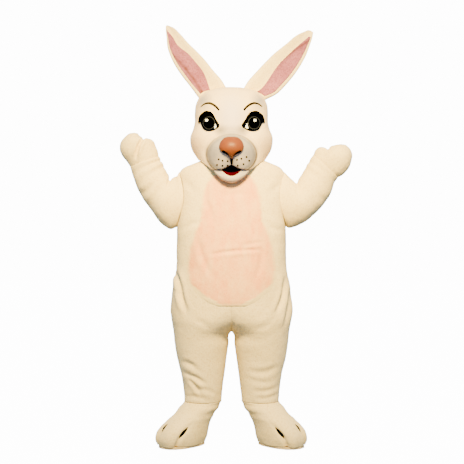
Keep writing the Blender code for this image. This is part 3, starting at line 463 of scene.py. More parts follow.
# A fold's two ridges: share of the ridge height, then place and width against the trough's width
NEAR_RIDGE = (1.0, 1.9, 1.2)
FAR_RIDGE = (0.6, -1.9, 1.3)
RIDGE_HEIGHT = 0.45
# How a fold thins out towards its ends
FOLD_TIP = 0.05
FOLD_TAPER = 0.6


def plush_relief(points, amount=1.0):
    """Slow waves of loose cloth and small tufts of pile, as heights along the normal."""
    flat = points.reshape(-1, 3)
    heights = np.zeros(len(flat))
    for size, height in PILE:
        scaled = (flat / size).tolist()
        heights += height * np.array([noise.noise(p) for p in scaled])
    return heights.reshape(points.shape[:-1]) * amount


def fold_relief(points, folds):
    """Troughs with a soft ridge beside them, drawn in front view."""
    x = points[..., 0]
    z = points[..., 2]
    height = np.zeros_like(x)
    for x0, z0, x1, z1, sag, width, depth in folds:
        length = math.hypot(x1 - x0, z1 - z0)
        ux, uz = (x1 - x0) / length, (z1 - z0) / length
        along = ((x - x0) * ux + (z - z0) * uz) / length
        inside = np.clip(along, 0, 1)
        bow = -sag * 4 * inside * (1 - inside)
        aside = (x - x0) * uz - (z - z0) * ux - bow
        past = (along - inside) * length
        body = np.clip(inside * (1 - 2 * FOLD_TIP) + FOLD_TIP, 0, 1)
        taper = np.sin(np.pi * body) ** FOLD_TAPER * np.exp(-(past / width) ** 2)
        trough = np.exp(-(aside / width) ** 2)
        ridge = np.zeros_like(x)
        for share, place, breadth in (NEAR_RIDGE, FAR_RIDGE):
            ridge += share * np.exp(-((aside - place * width) / (breadth * width)) ** 2)
        height += depth * taper * (RIDGE_HEIGHT * ridge - trough)
    return height


# ---------------------------------------------------------------- shader nodes

# Places of the colour sockets on a Mix node
MIX_FACTOR = 0
MIX_FIRST = 6
MIX_SECOND = 7
MIX_RESULT = 2


class Wire:
    """One socket of a node tree, with arithmetic that adds Math nodes."""

    def __init__(self, net, socket):
        self.net = net
        self.socket = socket

    def maths(self, operation, *others):
        made = self.net.add("ShaderNodeMath", {"operation": operation}, dict(enumerate((self, *others))))
        return Wire(self.net, made.outputs[0])

    def __add__(self, other):
        return self.maths("ADD", other)

    def __sub__(self, other):
        return self.maths("SUBTRACT", other)

    def __mul__(self, other):
        return self.maths("MULTIPLY", other)

    def __truediv__(self, other):
        return self.maths("DIVIDE", other)

    def __pow__(self, other):
        if other == 2:
            return self.maths("MULTIPLY", self)
        return self.maths("POWER", other)

    def __rsub__(self, other):
        return self.maths("MULTIPLY", -1.0).maths("ADD", other)

    __radd__ = __add__
    __rmul__ = __mul__

    def clip(self):
        return self.maths("MAXIMUM", 0.0).maths("MINIMUM", 1.0)

    def size(self):
        return self.maths("ABSOLUTE")


class Net:
    """A tree of shader nodes."""

    def __init__(self, tree):
        self.tree = tree

    def feed(self, socket, value):
        """Link a wire or an output to the socket, or set a constant on it."""
        if isinstance(value, Wire):
            self.tree.links.new(value.socket, socket)
        elif hasattr(value, "is_output"):
            self.tree.links.new(value, socket)
        else:
            socket.default_value = value

    def add(self, kind, settings=None, sockets=None):
        """One node: its settings first, then the values or links of its sockets."""
        made = self.tree.nodes.new(kind)
        for name, value in (settings or {}).items():
            if name == "stops":
                set_stops(made.color_ramp.elements, value)
            else:
                setattr(made, name, value)
        for place, value in (sockets or {}).items():
            self.feed(made.inputs[place], value)
        return made

    def mix(self, factor, first, second):
        sockets = {MIX_FACTOR: factor, MIX_FIRST: opaque(first), MIX_SECOND: opaque(second)}
        return self.add("ShaderNodeMix", {"data_type": "RGBA"}, sockets).outputs[MIX_RESULT]


def opaque(colour):
    """A plain colour with its alpha; a link stays as it is."""
    return (*colour, 1.0) if isinstance(colour, tuple) else colour


def set_stops(elements, stops):
    """Grey levels of a ramp, given as rising (place, level) pairs."""
    for element, (place, level) in ((elements[0], stops[0]), (elements[-1], stops[-1])):
        element.position = place
        element.color = (level, level, level, 1.0)
    for place, level in stops[1:-1]:
        elements.new(place).color = (level, level, level, 1.0)


class Finish(Net):
    """The nodes of one material, with the shader's constants set on its own sockets."""

    def __init__(self, name, constants):
        self.material = bpy.data.materials.new(name)
        self.material.use_nodes = True
        super().__init__(self.material.node_tree)
        self.shader = self.tree.nodes["Principled BSDF"]
        for socket, value in constants.items():
            self.feed(self.shader.inputs[socket], value)
        self.place = self.add("ShaderNodeTexCoord").outputs["Object"]

    def axes(self):
        made = self.add("ShaderNodeSeparateXYZ", None, {"Vector": self.place})
        return [Wire(self, made.outputs[k]) for k in range(3)]

    def noise(self, size, detail=2.0, stretch=(1.0, 1.0, 1.0)):
        """Noise from -0.5 to 0.5 with blobs of about the given size in metres."""
        scaled = self.add("ShaderNodeVectorMath", {"operation": "MULTIPLY"}, {0: self.place, 1: stretch})
        made = self.add("ShaderNodeTexNoise", None,
                        {"Vector": scaled.outputs[0], "Scale": 1.0 / size, "Detail": detail})
        return Wire(self, made.outputs["Fac"]) - 0.5

    def tone(self):
        """The colour made so far."""
        return self.shader.inputs["Base Color"].links[0].from_socket

    def colour(self, value):
        self.feed(self.shader.inputs["Base Color"], value)

    def bump(self, height):
        made = self.add("ShaderNodeBump", None, {"Height": height, "Strength": 1.0, "Distance": 1.0})
        self.feed(self.shader.inputs["Normal"], made.outputs[0])


# ---------------------------------------------------------------- cloth colours, linear

CREAM = (0.880, 0.725, 0.320)
CREAM_SHADE = (0.680, 0.510, 0.190)
CREAM_LIGHT = (0.930, 0.785, 0.400)
PEACH = (0.900, 0.395, 0.135)
PEACH_SHADE = (0.760, 0.290, 0.090)
PEACH_LIGHT = (0.940, 0.480, 0.200)
FACE = (0.880, 0.690, 0.370)
FACE_SHADE = (0.780, 0.580, 0.280)
FACE_LIGHT = (0.920, 0.760, 0.460)
FOREHEAD = (0.740, 0.660, 0.620)
# Grey of the snout, also used as painted shade at the temples
MUZZLE_GREY_AND_TEMPLE_SHADE = (0.330, 0.320, 0.320)
# Painted shade round the snout and over the bridge
MUZZLE_RIM_SHADE = (0.130, 0.130, 0.132)
# Painted shade: a dark line in the crease round the snout
MUZZLE_CREASE_SHADE_LINE = (0.030, 0.030, 0.032)
# Paler pads of the snout: partly their own paint, partly painted light on their rounded fronts
MUZZLE_PAD_TONE_AND_LIGHT = (0.720, 0.620, 0.470)
# Tone of the cheeks, also used as painted shade at the foot of the ears
CHEEK_AND_EAR_FOOT_SHADE = (0.640, 0.450, 0.270)
JAW_GREY = (0.430, 0.385, 0.325)
JAW_SHADE = (0.360, 0.290, 0.200)
JAW_LIGHT = (0.580, 0.520, 0.430)
PINK = (0.235, 0.076, 0.118)
PINK_SHADE = (0.130, 0.038, 0.055)
PINK_LIGHT = (0.360, 0.142, 0.205)
# Painted shade in the crease of an ear's lining
PINK_CREASE_SHADE = (0.110, 0.036, 0.026)

# Sizes of the nap's clouds of tone, patches and dark flecks
NAP_CLOUD = 0.110
NAP_PATCH = 0.018
NAP_FLECK = 0.0075
# How strongly clouds, patches and flecks show, and the level they show from
CLOUD_STRENGTH = 1.6
PATCH_STRENGTH = 0.9
CLOUD_LEVEL = 0.35
FLECK_STRENGTH = 2.2
FLECK_LEVEL = 0.10
# Size, stretch and height of the tufts and of single hairs
TUFT = 0.0085
HAIR = 0.0028
TUFT_STRETCH = (1.0, 1.0, 0.7)
HAIR_STRETCH = (1.4, 1.4, 0.5)
TUFT_HEIGHT = 0.0016
HAIR_HEIGHT = 0.0008


def plush(name, base, shade, light, sheen=0.02):
    """Short plush: cloudy nap, tufts and a pale sheen where it turns away."""
    net = Finish(name, {"Roughness": 0.95, "Sheen Weight": sheen, "Sheen Roughness": 0.45,
                        "Sheen Tint": opaque(CREAM_LIGHT), "Specular IOR Level": 0.15})
    clouds = net.noise(NAP_CLOUD, 3.0) * CLOUD_STRENGTH + net.noise(NAP_PATCH, 3.0) * PATCH_STRENGTH
    tone = net.mix((clouds + CLOUD_LEVEL).clip(), light, base)
    dark = (net.noise(NAP_FLECK, 3.0) * FLECK_STRENGTH + FLECK_LEVEL).clip()
    net.colour(net.mix(dark, tone, shade))
    tufts = net.noise(TUFT, 3.0, TUFT_STRETCH)
    hairs = net.noise(HAIR, 2.0, HAIR_STRETCH)
    net.bump(tufts * TUFT_HEIGHT + hairs * HAIR_HEIGHT)
    return net


# Height and half width of the peach colour on the belly panel, from the bottom up
PEACH_EDGE = [(-0.705, 0.1100), (-0.6851, 0.1100), (-0.6849, 0.0933), *BELLY[8::-1]]
# The ramp's white stands for this half width
PEACH_WIDEST = 0.25
# How softly and raggedly the colour ends, and how its lower end is rounded off
PEACH_FADE = 0.016
PEACH_RAGGED = 0.022
PEACH_RAGGED_SIZE = 0.012
PEACH_ROUNDING = 0.045
PEACH_ROUNDING_START = 0.004
PEACH_WEAR_SIZE = 0.060
PEACH_WEAR_STRETCH = (1.6, 1.0, 0.7)
PEACH_WEAR_STRENGTH = 2.2
PEACH_WEAR_LEVEL = 0.30
PEACH_WEAR_SHARE = 0.45


def belly_plush():
    """Peach plush that blends into the cream pile round the panel's edge."""
    net = plush("peach_plush", PEACH, PEACH_SHADE, PEACH_LIGHT)
    x, _, z = net.axes()
    bottom, top = PEACH_EDGE[0][0], PEACH_EDGE[-1][0]
    stops = [((place - bottom) / (top - bottom), half / PEACH_WIDEST) for place, half in PEACH_EDGE]
    ramp = net.add("ShaderNodeValToRGB", {"stops": stops}, {0: (z - bottom) / (top - bottom)})
    rounding = ((z - bottom + PEACH_ROUNDING_START) / PEACH_ROUNDING).clip() ** 0.5
    half = Wire(net, ramp.outputs[0]) * PEACH_WIDEST * rounding
    ragged = net.noise(PEACH_RAGGED_SIZE, 3.0) * PEACH_RAGGED
    across = (half - x.size() + ragged) / PEACH_FADE
    down = (z - bottom + ragged) / PEACH_FADE
    inside = across.clip() * down.clip()
    wear = net.noise(PEACH_WEAR_SIZE, 4.0, PEACH_WEAR_STRETCH) * PEACH_WEAR_STRENGTH + PEACH_WEAR_LEVEL
    tone = net.mix(wear.clip() * PEACH_WEAR_SHARE, net.tone(), CREAM_LIGHT)
    net.colour(net.mix(inside, CREAM, tone))
    return net


# Soft areas of the face's airbrushed tones and of painted shade and light: colour, x, z, half width, half
# height, softness, strength, on both sides or not
FACE_TONES_SHADE_AND_LIGHT = [
    (CHEEK_AND_EAR_FOOT_SHADE, 0.185, 0.070, 0.070, 0.080, 0.90, 0.55, True),
    (CHEEK_AND_EAR_FOOT_SHADE, 0.185, 0.215, 0.034, 0.110, 0.90, 0.45, True),
    # Painted shade at the foot of each ear
    (CHEEK_AND_EAR_FOOT_SHADE, 0.150, 0.290, 0.055, 0.045, 0.90, 0.60, True),
    (FOREHEAD, 0.000, 0.200, 0.095, 0.150, 0.70, 0.85, False),
    # Painted shade at the temples beside the ears
    (MUZZLE_GREY_AND_TEMPLE_SHADE, 0.138, 0.285, 0.058, 0.056, 0.90, 0.90, True),
    # Painted shade over the bridge, above the snout
    (MUZZLE_RIM_SHADE, 0.000, 0.124, 0.080, 0.044, 0.80, 0.48, False),
    # Painted shade beside the bridge, under the eyes
    (MUZZLE_RIM_SHADE, 0.054, 0.138, 0.040, 0.036, 0.90, 0.70, True),
    (MUZZLE_GREY_AND_TEMPLE_SHADE, 0.000, 0.020, 0.122, 0.096, 0.12, 0.92, False),
    # Paler middles of the whisker pads: partly their own paler paint, partly painted light
    (MUZZLE_PAD_TONE_AND_LIGHT, 0.038, -0.010, 0.052, 0.040, 0.90, 0.60, True),
]
# Painted shade in soft rings along an ellipse, the crease round the snout: the same five, then width,
# strength and how it fades sideways and upward
FACE_SHADE_RINGS = [
    # A broad band of painted shade along the snout's crease
    (MUZZLE_RIM_SHADE, 0.000, 0.020, 0.112, 0.088, 0.150, 0.70, 0.00, -0.20),
    # A darker, narrower line of painted shade in the crease itself
    (MUZZLE_CREASE_SHADE_LINE, 0.000, 0.020, 0.120, 0.095, 0.055, 0.95, 0.10, -0.40),
]
# A ring's strength in its middle, before it fades
RING_LEVEL = 0.85
# Blobs that make the edges of the paint wander, in metres, and how far they push areas and rings
PAINT_WANDER = 0.020
AREA_WANDER = 0.10
RING_WANDER = 0.06
# The paint grows from 1/30 m to 2/30 m in front of the head's middle plane
FACE_PAINT_GROWTH = 30.0


def head_plush():
    """Cream plush of the head with its grey snout, forehead and cheeks, and painted shade round the snout,
    over the bridge, at the temples and at the foot of the ears.
    """
    net = plush("head_plush", FACE, FACE_SHADE, FACE_LIGHT)
    x, y, z = net.axes()
    ahead = (y * -FACE_PAINT_GROWTH - 1.0).clip()
    wander = net.noise(PAINT_WANDER, 3.0)
    tone = net.tone()
    for colour, mid_x, mid_z, half_width, half_height, softness, strength, both_sides in FACE_TONES_SHADE_AND_LIGHT:
        across = (x.size() if both_sides else x) - mid_x
        reach = ((across / half_width) ** 2 + ((z - mid_z) / half_height) ** 2) ** 0.5
        amount = ((1.0 - reach + wander * AREA_WANDER) / softness).clip()
        tone = net.mix(amount * ahead * strength, tone, colour)
    for colour, mid_x, mid_z, half_width, half_height, width, strength, sideways, upward in FACE_SHADE_RINGS:
        across = (x - mid_x) / half_width
        rise = (z - mid_z) / half_height
        reach = (across ** 2 + rise ** 2) ** 0.5
        amount = (1.0 - (reach - 1.0 + wander * RING_WANDER).size() / width).clip()
        fade = (across * sideways + rise * upward + RING_LEVEL).clip()
        tone = net.mix(amount * fade * ahead * strength, tone, colour)
    net.colour(tone)
    return net


# Blobs that make the painted crease shade patchy on an ear's lining, and how far they push its crease
# sideways
EAR_PATCHES = 0.030
EAR_CREASE_WANDER = 0.012
# Painted shade along the crease, broad and then a dark line: colour, half width, patchiness, level, share of
# the colour
EAR_CREASE_SHADING = [
    (PINK_SHADE, 0.040, 1.4, 0.55, 0.50),
    (PINK_CREASE_SHADE, 0.014, 2.0, 0.85, 0.95),
]


def ear_pink(side):
    """Pink plush of an ear's lining, with painted shade along the crease."""
    net = plush(f"pink_plush_{side}", PINK, PINK_SHADE, PINK_LIGHT, 0.03)
    x, _, z = net.axes()
    places = np.array(EAR_CREASES[side])
    bow, lean, start = np.polyfit(places[:, 1], places[:, 0], 2)
    line = z * z * float(bow) + z * float(lean) + float(start)
    patchy = net.noise(EAR_PATCHES, 3.0)
    aside = (x.size() - line + patchy * EAR_CREASE_WANDER).size()
    tone = net.tone()
    for colour, half_width, patchiness, level, share in EAR_CREASE_SHADING:
        mark = (1.0 - aside / half_width).clip()
        tone = net.mix(mark * (patchy * patchiness + level).clip() * share, tone, colour)
    net.colour(tone)
    return net


# Mottle and grain of the smooth finishes: how much darker, how it covers, sizes in metres
COAT_MOTTLE = 0.18
COAT_MOTTLE_STRENGTH = 1.5
COAT_MOTTLE_LEVEL = 0.4
COAT_MOTTLE_SIZE = 0.012
COAT_GRAIN = 0.004
COAT_GRAIN_HEIGHT = 0.0002


def smooth_coat(name, colour, roughness, coat=0.0, metallic=0.0, specular=0.4):
    """Vinyl, paint, tape or metal: an even colour with a faint mottle and grain."""
    net = Finish(name, {"Roughness": roughness, "Specular IOR Level": specular, "Metallic": metallic,
                        "Coat Weight": coat})
    shade = tuple(c * (1 - COAT_MOTTLE) for c in colour)
    mottle = net.noise(COAT_MOTTLE_SIZE, 3.0) * COAT_MOTTLE_STRENGTH + COAT_MOTTLE_LEVEL
    net.colour(net.mix(mottle.clip(), colour, shade))
    net.bump(net.noise(COAT_GRAIN, 2.0) * COAT_GRAIN_HEIGHT)
    return net


# ---------------------------------------------------------------- suit

# Metres between rings, points across a panel, and rings over the armhole's height
BODY_SPACING = 0.0065
BODY_PANEL_COLUMNS = 66
ARMHOLE_DENSITY = 2.2
# Plush pulls in at a seam: depth, and width in columns
SEAM_DIP = 0.0010
SEAM_DIP_WIDTH = 2.0
# How far a shell runs past its seam: at a long edge, at an end, and over the middle plane
EDGE_LAP = 0.0010
END_LAP = 0.0012
MIDDLE_LAP = 0.0008
BELLY_ROWS = 110
BELLY_COLUMNS = 81
BELLY_UNDER = 0.0003
BELLY_EDGE_LIFT = 0.0004
BELLY_LIFT = 0.0026
# How steeply the panel rises from its edges, and from its ends against its sides
BELLY_EDGE_SLOPE = 5
BELLY_END_SLOPE = 6


def armhole_reach(z):
    rise = (z - ARMHOLE_MIDDLE) / ARMHOLE_HALF_HEIGHT
    return ARMHOLE_HALF_DEPTH * math.sqrt(max(0.0, 1 - rise * rise))


def body_size(z, toward):
    """Centre, half width, depth and squareness of the suit's half section at a height."""
    depth = "front" if toward < 0 else "back"
    return [float(read(BODY_TABLE, "z", name, z)) for name in ("centre", "half_width", depth, "squareness")]


def section_ends(z, toward):
    """Angles at which a panel's section meets the side and the middle seam."""
    centre, half_width, depth, n = body_size(z, toward)
    start = math.asin(min(1.0, (armhole_reach(z) / depth) ** (n / 2)))
    edge = float(signed_power((SEAM / 2 - centre) / half_width, n / 2))
    return start, math.acos(max(-1.0, min(1.0, edge)))


def section_points(z, angles, toward):
    centre, half_width, depth, n = body_size(z, toward)
    x = centre + half_width * signed_power(np.cos(angles), 2 / n)
    y = toward * depth * np.abs(np.sin(angles)) ** (2 / n)
    return np.stack([x, y, np.full_like(x, z)], axis=-1)


def body_levels():
    """Heights down the suit, closer round the ends of the armhole."""
    top = ARMHOLE_MIDDLE + ARMHOLE_HALF_HEIGHT
    bottom = ARMHOLE_MIDDLE - ARMHOLE_HALF_HEIGHT
    turns = np.linspace(0, math.pi, int(ARMHOLE_DENSITY * ARMHOLE_HALF_HEIGHT / BODY_SPACING))
    return np.concatenate([
        np.linspace(NECK_TOP, top, int((NECK_TOP - top) / BODY_SPACING))[:-1],
        ARMHOLE_MIDDLE + ARMHOLE_HALF_HEIGHT * np.cos(turns),
        np.linspace(bottom, CROTCH, int((bottom - CROTCH) / BODY_SPACING))[1:-1],
        np.linspace(CROTCH, HEM, int((CROTCH - HEM) / BODY_SPACING)),
    ])


def body_surface(toward):
    """Left front or back panel of the suit, with the directions that point out of it."""
    levels = body_levels()
    rows = []
    for z in levels:
        start, end = section_ends(z, toward)
        rows.append(section_points(z, np.linspace(start, end, BODY_PANEL_COLUMNS), toward))
    grid = np.array(rows)
    middles = np.stack([read(BODY_TABLE, "z", "centre", levels), np.zeros_like(levels), levels], axis=-1)
    return grid, outward(grid, grid_normals(grid, False), middles)


def body_relief(points, toward):
    folds = FRONT_FOLDS if toward < 0 else BACK_FOLDS
    return plush_relief(points) + fold_relief(points, folds)


def seam_dip(rows, columns):
    """A shallow groove along both long edges, as sewn plush pulls in at a seam."""
    place = np.arange(columns)
    near = np.minimum(place, columns - 1 - place)
    return -SEAM_DIP * np.exp(-(near / SEAM_DIP_WIDTH) ** 2)[None, :] * np.ones((rows, 1))


def lapped(grid):
    """The long edges carried a little past the seam, so that the pile of both panels closes it."""
    for edge, beside in ((0, 1), (-1, -2)):
        step = grid[:, edge] - grid[:, beside]
        length = np.linalg.norm(step, axis=1, keepdims=True)
        grid[:, edge] += step / np.maximum(length, 1e-9) * EDGE_LAP
    return grid


def lapped_end(grid, row, beside):
    """One end of a panel or tube carried a little over its neighbour."""
    step = grid[row] - grid[beside]
    length = np.linalg.norm(step, axis=1, keepdims=True)
    grid[row] += step / np.maximum(length, 1e-9) * END_LAP
    return grid


def make_body(cloth):
    """The four long panels of the suit; the right ones mirror the left ones, with folds of their own."""
    grids = {toward: body_surface(toward) for toward in (-1, 1)}
    for toward, label in ((-1, "front"), (1, "back")):
        for side, flip in (("left", 1.0), ("right", -1.0)):
            grid, normals = grids[toward]
            turn = np.array([flip, 1.0, 1.0])
            grid = grid * turn
            normals = normals * turn
            relief = body_relief(grid, toward) + seam_dip(*grid.shape[:2])
            outer = lapped_end(lapped(grid + normals * relief[..., None]), -1, -2)
            inner = outer - normals * CLOTH
            for sheet in (outer, inner):
                sheet[..., 0] = flip * np.maximum(flip * sheet[..., 0], -MIDDLE_LAP)
                sheet[..., 1] = toward * np.maximum(toward * sheet[..., 1], -MIDDLE_LAP)
            made = wall(f"{label}_{side}_plush", outer, inner, False, cloth)
            cloth_piece(made, f"{label}_{side}")


def make_belly(cloth):
    """The belly panel: the fronts' own surface, moved out, with a ragged plush edge."""
    levels = np.linspace(BELLY[0][0], BELLY[-1][0], BELLY_ROWS)
    shares = np.sin(np.linspace(-math.pi / 2, math.pi / 2, BELLY_COLUMNS))
    rows = []
    for z in levels:
        half = float(read(BELLY_TABLE, "z", "half_width", z))
        _, half_width, depth, n = body_size(z, -1)
        x = half * shares
        inside = np.maximum(0, 1 - (np.abs(x) / half_width) ** n) ** (1 / n)
        rows.append(np.stack([x, -depth * inside, np.full_like(x, z)], axis=-1))
    grid = np.array(rows)
    middles = np.stack([np.zeros_like(levels), np.zeros_like(levels), levels], axis=-1)
    normals = outward(grid, grid_normals(grid, False), middles)
    down = np.linspace(0, 1, len(levels))
    ends = BELLY_END_SLOPE * np.minimum(down, 1 - down)
    edge = np.minimum(1 - np.abs(shares)[None, :], ends[:, None])
    lift = BELLY_EDGE_LIFT + BELLY_LIFT * np.clip(edge * BELLY_EDGE_SLOPE, 0, 1)
    relief = body_relief(grid, -1)
    outer = grid + normals * (relief + lift)[..., None]
    inner = grid + normals * (relief + BELLY_UNDER)[..., None]
    made = wall("belly_plush", outer, inner, False, cloth)
    cloth_piece(made, "belly_panel")


# ---------------------------------------------------------------- sleeves and mitts

SLEEVE_ROWS = 72
SLEEVE_COLUMNS = 96
MITT_ROWS = 60
MITT_COLUMNS = 64
CUFF_DIP_WIDTH = 0.010
SLEEVE_CUFF_DIP = 0.0008
MITT_CUFF_DIP = 0.0010
# A sleeve fold's ridges against its trough, and how it wanders along the arm as it goes round
SLEEVE_RIDGE_AWAY = 1.8
SLEEVE_FOLD_WANDER = 0.012
SLEEVE_WANDER_WAVES = 3.0
SLEEVE_WANDER_SHIFT = 7.0


def arm_ring(row, angles):
    top_x, top_z, bottom_x, bottom_z, half_depth = row
    share = (1 - np.cos(angles)) / 2
    return np.stack([top_x + (bottom_x - top_x) * share, -half_depth * np.sin(angles),
                     top_z + (bottom_z - top_z) * share], axis=-1)


def armhole_ring(angles):
    ring = []
    for angle in angles:
        z = ARMHOLE_MIDDLE + ARMHOLE_HALF_HEIGHT * math.cos(angle)
        toward = -1 if angle <= math.pi else 1
        start, _ = section_ends(z, toward)
        ring.append(section_points(z, np.array([start]), toward)[0] + np.array([BUTT, 0.0, 0.0]))
    return np.array(ring)


def run_of(rings):
    """Distance along a chain of rings, measured between their middles."""
    middles = rings.mean(axis=1)
    steps = np.linalg.norm(np.diff(middles, axis=0), axis=1)
    return np.concatenate([[0.0], np.cumsum(steps)])


def sleeve_relief(grid, stations):
    """Soft creases across the arm, deepest at their own turn and fading round it."""
    rows, columns = grid.shape[:2]
    turns = np.linspace(0, 2, columns, endpoint=False)
    total = stations[-1]
    height = np.zeros((rows, columns))
    for station, turn, spread, width, depth in SLEEVE_FOLDS:
        round_by = np.abs((turns - turn + 1) % 2 - 1)
        fade = np.exp(-(round_by / (0.5 * spread)) ** 2)[None, :]
        waves = SLEEVE_WANDER_WAVES * turns + SLEEVE_WANDER_SHIFT * station
        wander = SLEEVE_FOLD_WANDER * np.sin(waves)[None, :]
        along = stations[:, None] - station * total - wander
        ridges = np.exp(-((np.abs(along) - SLEEVE_RIDGE_AWAY * width) / width) ** 2)
        height += depth * fade * (RIDGE_HEIGHT * ridges - np.exp(-(along / width) ** 2))
    return height


def make_sleeve(side, cloth):
    angles = np.linspace(0, 2 * math.pi, SLEEVE_COLUMNS, endpoint=False)
    rings = np.array([armhole_ring(angles), *[arm_ring(row, angles) for row in SLEEVES[side]]])
    stations = run_of(rings)
    fine = np.linspace(0, stations[-1], SLEEVE_ROWS)
    grid = hermite(stations, rings, fine)
    if side == "right":
        grid = mirrored(grid)
    normals = outward(grid, grid_normals(grid, True), grid.mean(axis=1))
    dip = np.exp(-(fine / CUFF_DIP_WIDTH) ** 2) + np.exp(-((fine[-1] - fine) / CUFF_DIP_WIDTH) ** 2)
    folds = sleeve_relief(grid, fine) * SLEEVE_FOLD_STRENGTH[side]
    relief = plush_relief(grid) + folds - SLEEVE_CUFF_DIP * dip[:, None]
    outer = grid + normals * relief[..., None]
    for row, beside in ((0, 1), (-1, -2)):
        outer = lapped_end(outer, row, beside)
    inner = outer - normals * CLOTH
    made = wall(f"sleeve_{side}_plush", outer, inner, True, cloth)
    cloth_piece(made, f"sleeve_{side}")


def wrist_row(side):
    """The sleeve's last row moved on by the butt gap, where the mitt starts."""
    before = np.array(SLEEVES[side][-2])
    last = np.array(SLEEVES[side][-1])
    step = (last[:2] + last[2:4] - before[:2] - before[2:4]) / 2
    step = step / np.linalg.norm(step) * BUTT
    return (last[0] + step[0], last[1] + step[1], last[2] + step[0], last[3] + step[1], last[4])


def make_mitt(side, cloth):
    """Palm and back of a mitt, cut from one form; the thumb is part of the same cut."""
    angles = np.linspace(0, math.pi, MITT_COLUMNS)
    rings = np.array([arm_ring(row, angles) for row in [wrist_row(side), *MITTS[side]]])
    stations = run_of(rings)
    fine = np.linspace(0, stations[-1], MITT_ROWS)
    grid = hermite(stations, rings, fine)
    middles = grid.mean(axis=1) * np.array([1.0, 0.0, 1.0])
    normals = outward(grid, grid_normals(grid, False), middles)
    crease = fold_relief(grid, [MITT_CREASES[side]])
    cuff = -MITT_CUFF_DIP * np.exp(-(fine / CUFF_DIP_WIDTH) ** 2)[:, None]
    turn = -1.0 if side == "right" else 1.0
    for label, toward in (("palm", -1.0), ("back", 1.0)):
        flip = np.array([turn, -toward, 1.0])
        face = grid * flip
        out = normals * flip
        relief = plush_relief(face) + crease + cuff + seam_dip(*face.shape[:2])
        outer = lapped_end(lapped(face + out * relief[..., None]), 0, 1)
        inner = outer - out * CLOTH
        for sheet in (outer, inner):
            sheet[..., 1] = toward * np.maximum(toward * sheet[..., 1], -MIDDLE_LAP)
        made = wall(f"mitt_{side}_{label}_plush", outer, inner, False, cloth)
        cloth_piece(made, f"mitt_{side}_{label}")


# ---------------------------------------------------------------- feet

# Turn from the toe line towards the inner side, height, half width, half height, lean inwards
TOE_MARKS = {"inner": (56.25, 0.081, 0.0100, 0.026, 0.35), "outer": (-9.0, 0.101, 0.0060, 0.017, 0.35)}
TOE_MARK_RADIUS = 0.116
# Where the toes stand out, in degrees from the toe line, and the grooves between them
TOE_MIDDLES = (84.0, 24.0, -36.0)
TOE_GROOVE = 0.012
TOE_GROOVE_WIDTH = 6.0
TOE_BULGE = 0.006
TOE_BULGE_WIDTH = 17.0
TOES_FADE_FROM = 0.070
TOES_FADE = 0.035
TOE_MARK_LIFT = 0.0015
TOE_MARK_THICKNESS = 0.0020
TOE_MARK_TIP = 0.0004
TOE_MARK_ROWS = 25
TOE_MARK_COLUMNS = 13
FOOT_ROWS = 52
FOOT_COLUMNS = 160
FOOT_MIDDLE = 0.06
# Creases round the ankle: height, wave length over a full turn, where they start and fade out
ANKLE_CREASE = 0.0035
ANKLE_CREASE_PITCH = 0.0088
ANKLE_CREASES_FROM = 0.125
ANKLE_CREASES_RISE = 0.04
ANKLE_CREASES_END = 0.015
# Even share of the creases and the share that comes and goes round the ankle
ANKLE_CREASE_EVEN = 0.6
ANKLE_CREASE_UNEVEN = 0.4


def foot_points(height, angles):
    """Left foot; angle 0 points across the foot, a quarter turn points to the toes."""
    sizes = [float(read(FOOT_TABLE, "height", name, height)) for name in FOOT_NAMES[1:]]
    half_width, toe, heel, n, spread, shift_ahead, shift_aside = sizes
    reach = np.where(np.sin(angles) > 0, toe, heel)
    across = shift_aside + half_width * (1 + spread * np.sin(angles)) * signed_power(np.cos(angles), 2 / n)
    ahead = shift_ahead + reach * signed_power(np.sin(angles), 2 / n)
    x = ANKLE_X + across * math.cos(TOE_OUT) + ahead * math.sin(TOE_OUT)
    y = across * math.sin(TOE_OUT) - ahead * math.cos(TOE_OUT)
    return np.stack([x, y, np.full_like(x, FLOOR + height)], axis=-1)


def toe_relief(angles, height):
    """Grooves between the toes, which lean with their marks, and toes that stand out between them."""
    bearing = np.degrees(angles) - 90
    bearing = (bearing + 180) % 360 - 180
    low = math.exp(-(max(0.0, height - TOES_FADE_FROM) / TOES_FADE) ** 2)
    relief = np.zeros_like(bearing)
    for turn, middle, _, _, lean in TOE_MARKS.values():
        here = turn + math.degrees(lean * (height - middle) / TOE_MARK_RADIUS)
        relief -= TOE_GROOVE * np.exp(-((bearing - here) / TOE_GROOVE_WIDTH) ** 2)
    for middle in TOE_MIDDLES:
        relief += TOE_BULGE * np.exp(-((bearing - middle) / TOE_BULGE_WIDTH) ** 2)
    return low * relief


def ankle_creases(heights, angles):
    """Small gathers where the foot cover meets the leg."""
    rise = np.clip((heights - ANKLE_CREASES_FROM) / ANKLE_CREASES_RISE, 0, 1)
    share = rise * np.clip((heights[-1] - heights) / ANKLE_CREASES_END, 0, 1)
    waves = ANKLE_CREASE * np.sin(heights / ANKLE_CREASE_PITCH) * share
    return waves[:, None] * (ANKLE_CREASE_EVEN + ANKLE_CREASE_UNEVEN * np.sin(2 * angles + 1))[None, :]


def make_foot(side, cloth, felt, sole_finish):
    flip = np.array([1.0 if side == "left" else -1.0, 1.0, 1.0])
    angles = np.linspace(0, 2 * math.pi, FOOT_COLUMNS, endpoint=False)
    heights = np.linspace(FOOT[0][0], FOOT[-1][0], FOOT_ROWS)
    grid = np.array([foot_points(h, angles) for h in heights])
    toes = np.array([toe_relief(angles, h) for h in heights])
    normals = outward(grid, grid_normals(grid, True), grid.mean(axis=1))
    grid = (grid + normals * toes[..., None]) * flip
    normals = outward(grid, grid_normals(grid, True), grid.mean(axis=1))
    relief = plush_relief(grid) + ankle_creases(heights, angles)
    outer = lapped_end(grid + normals * relief[..., None], -1, -2)
    inner = outer - normals * CLOTH
    made = wall(f"foot_{side}_plush", outer, inner, True, cloth)
    cloth_piece(made, f"foot_{side}_upper")
    for label, mark in TOE_MARKS.items():
        make_toe_mark(side, label, mark, flip, felt)
    dress_node(f"sole_{side}", sole_finish)


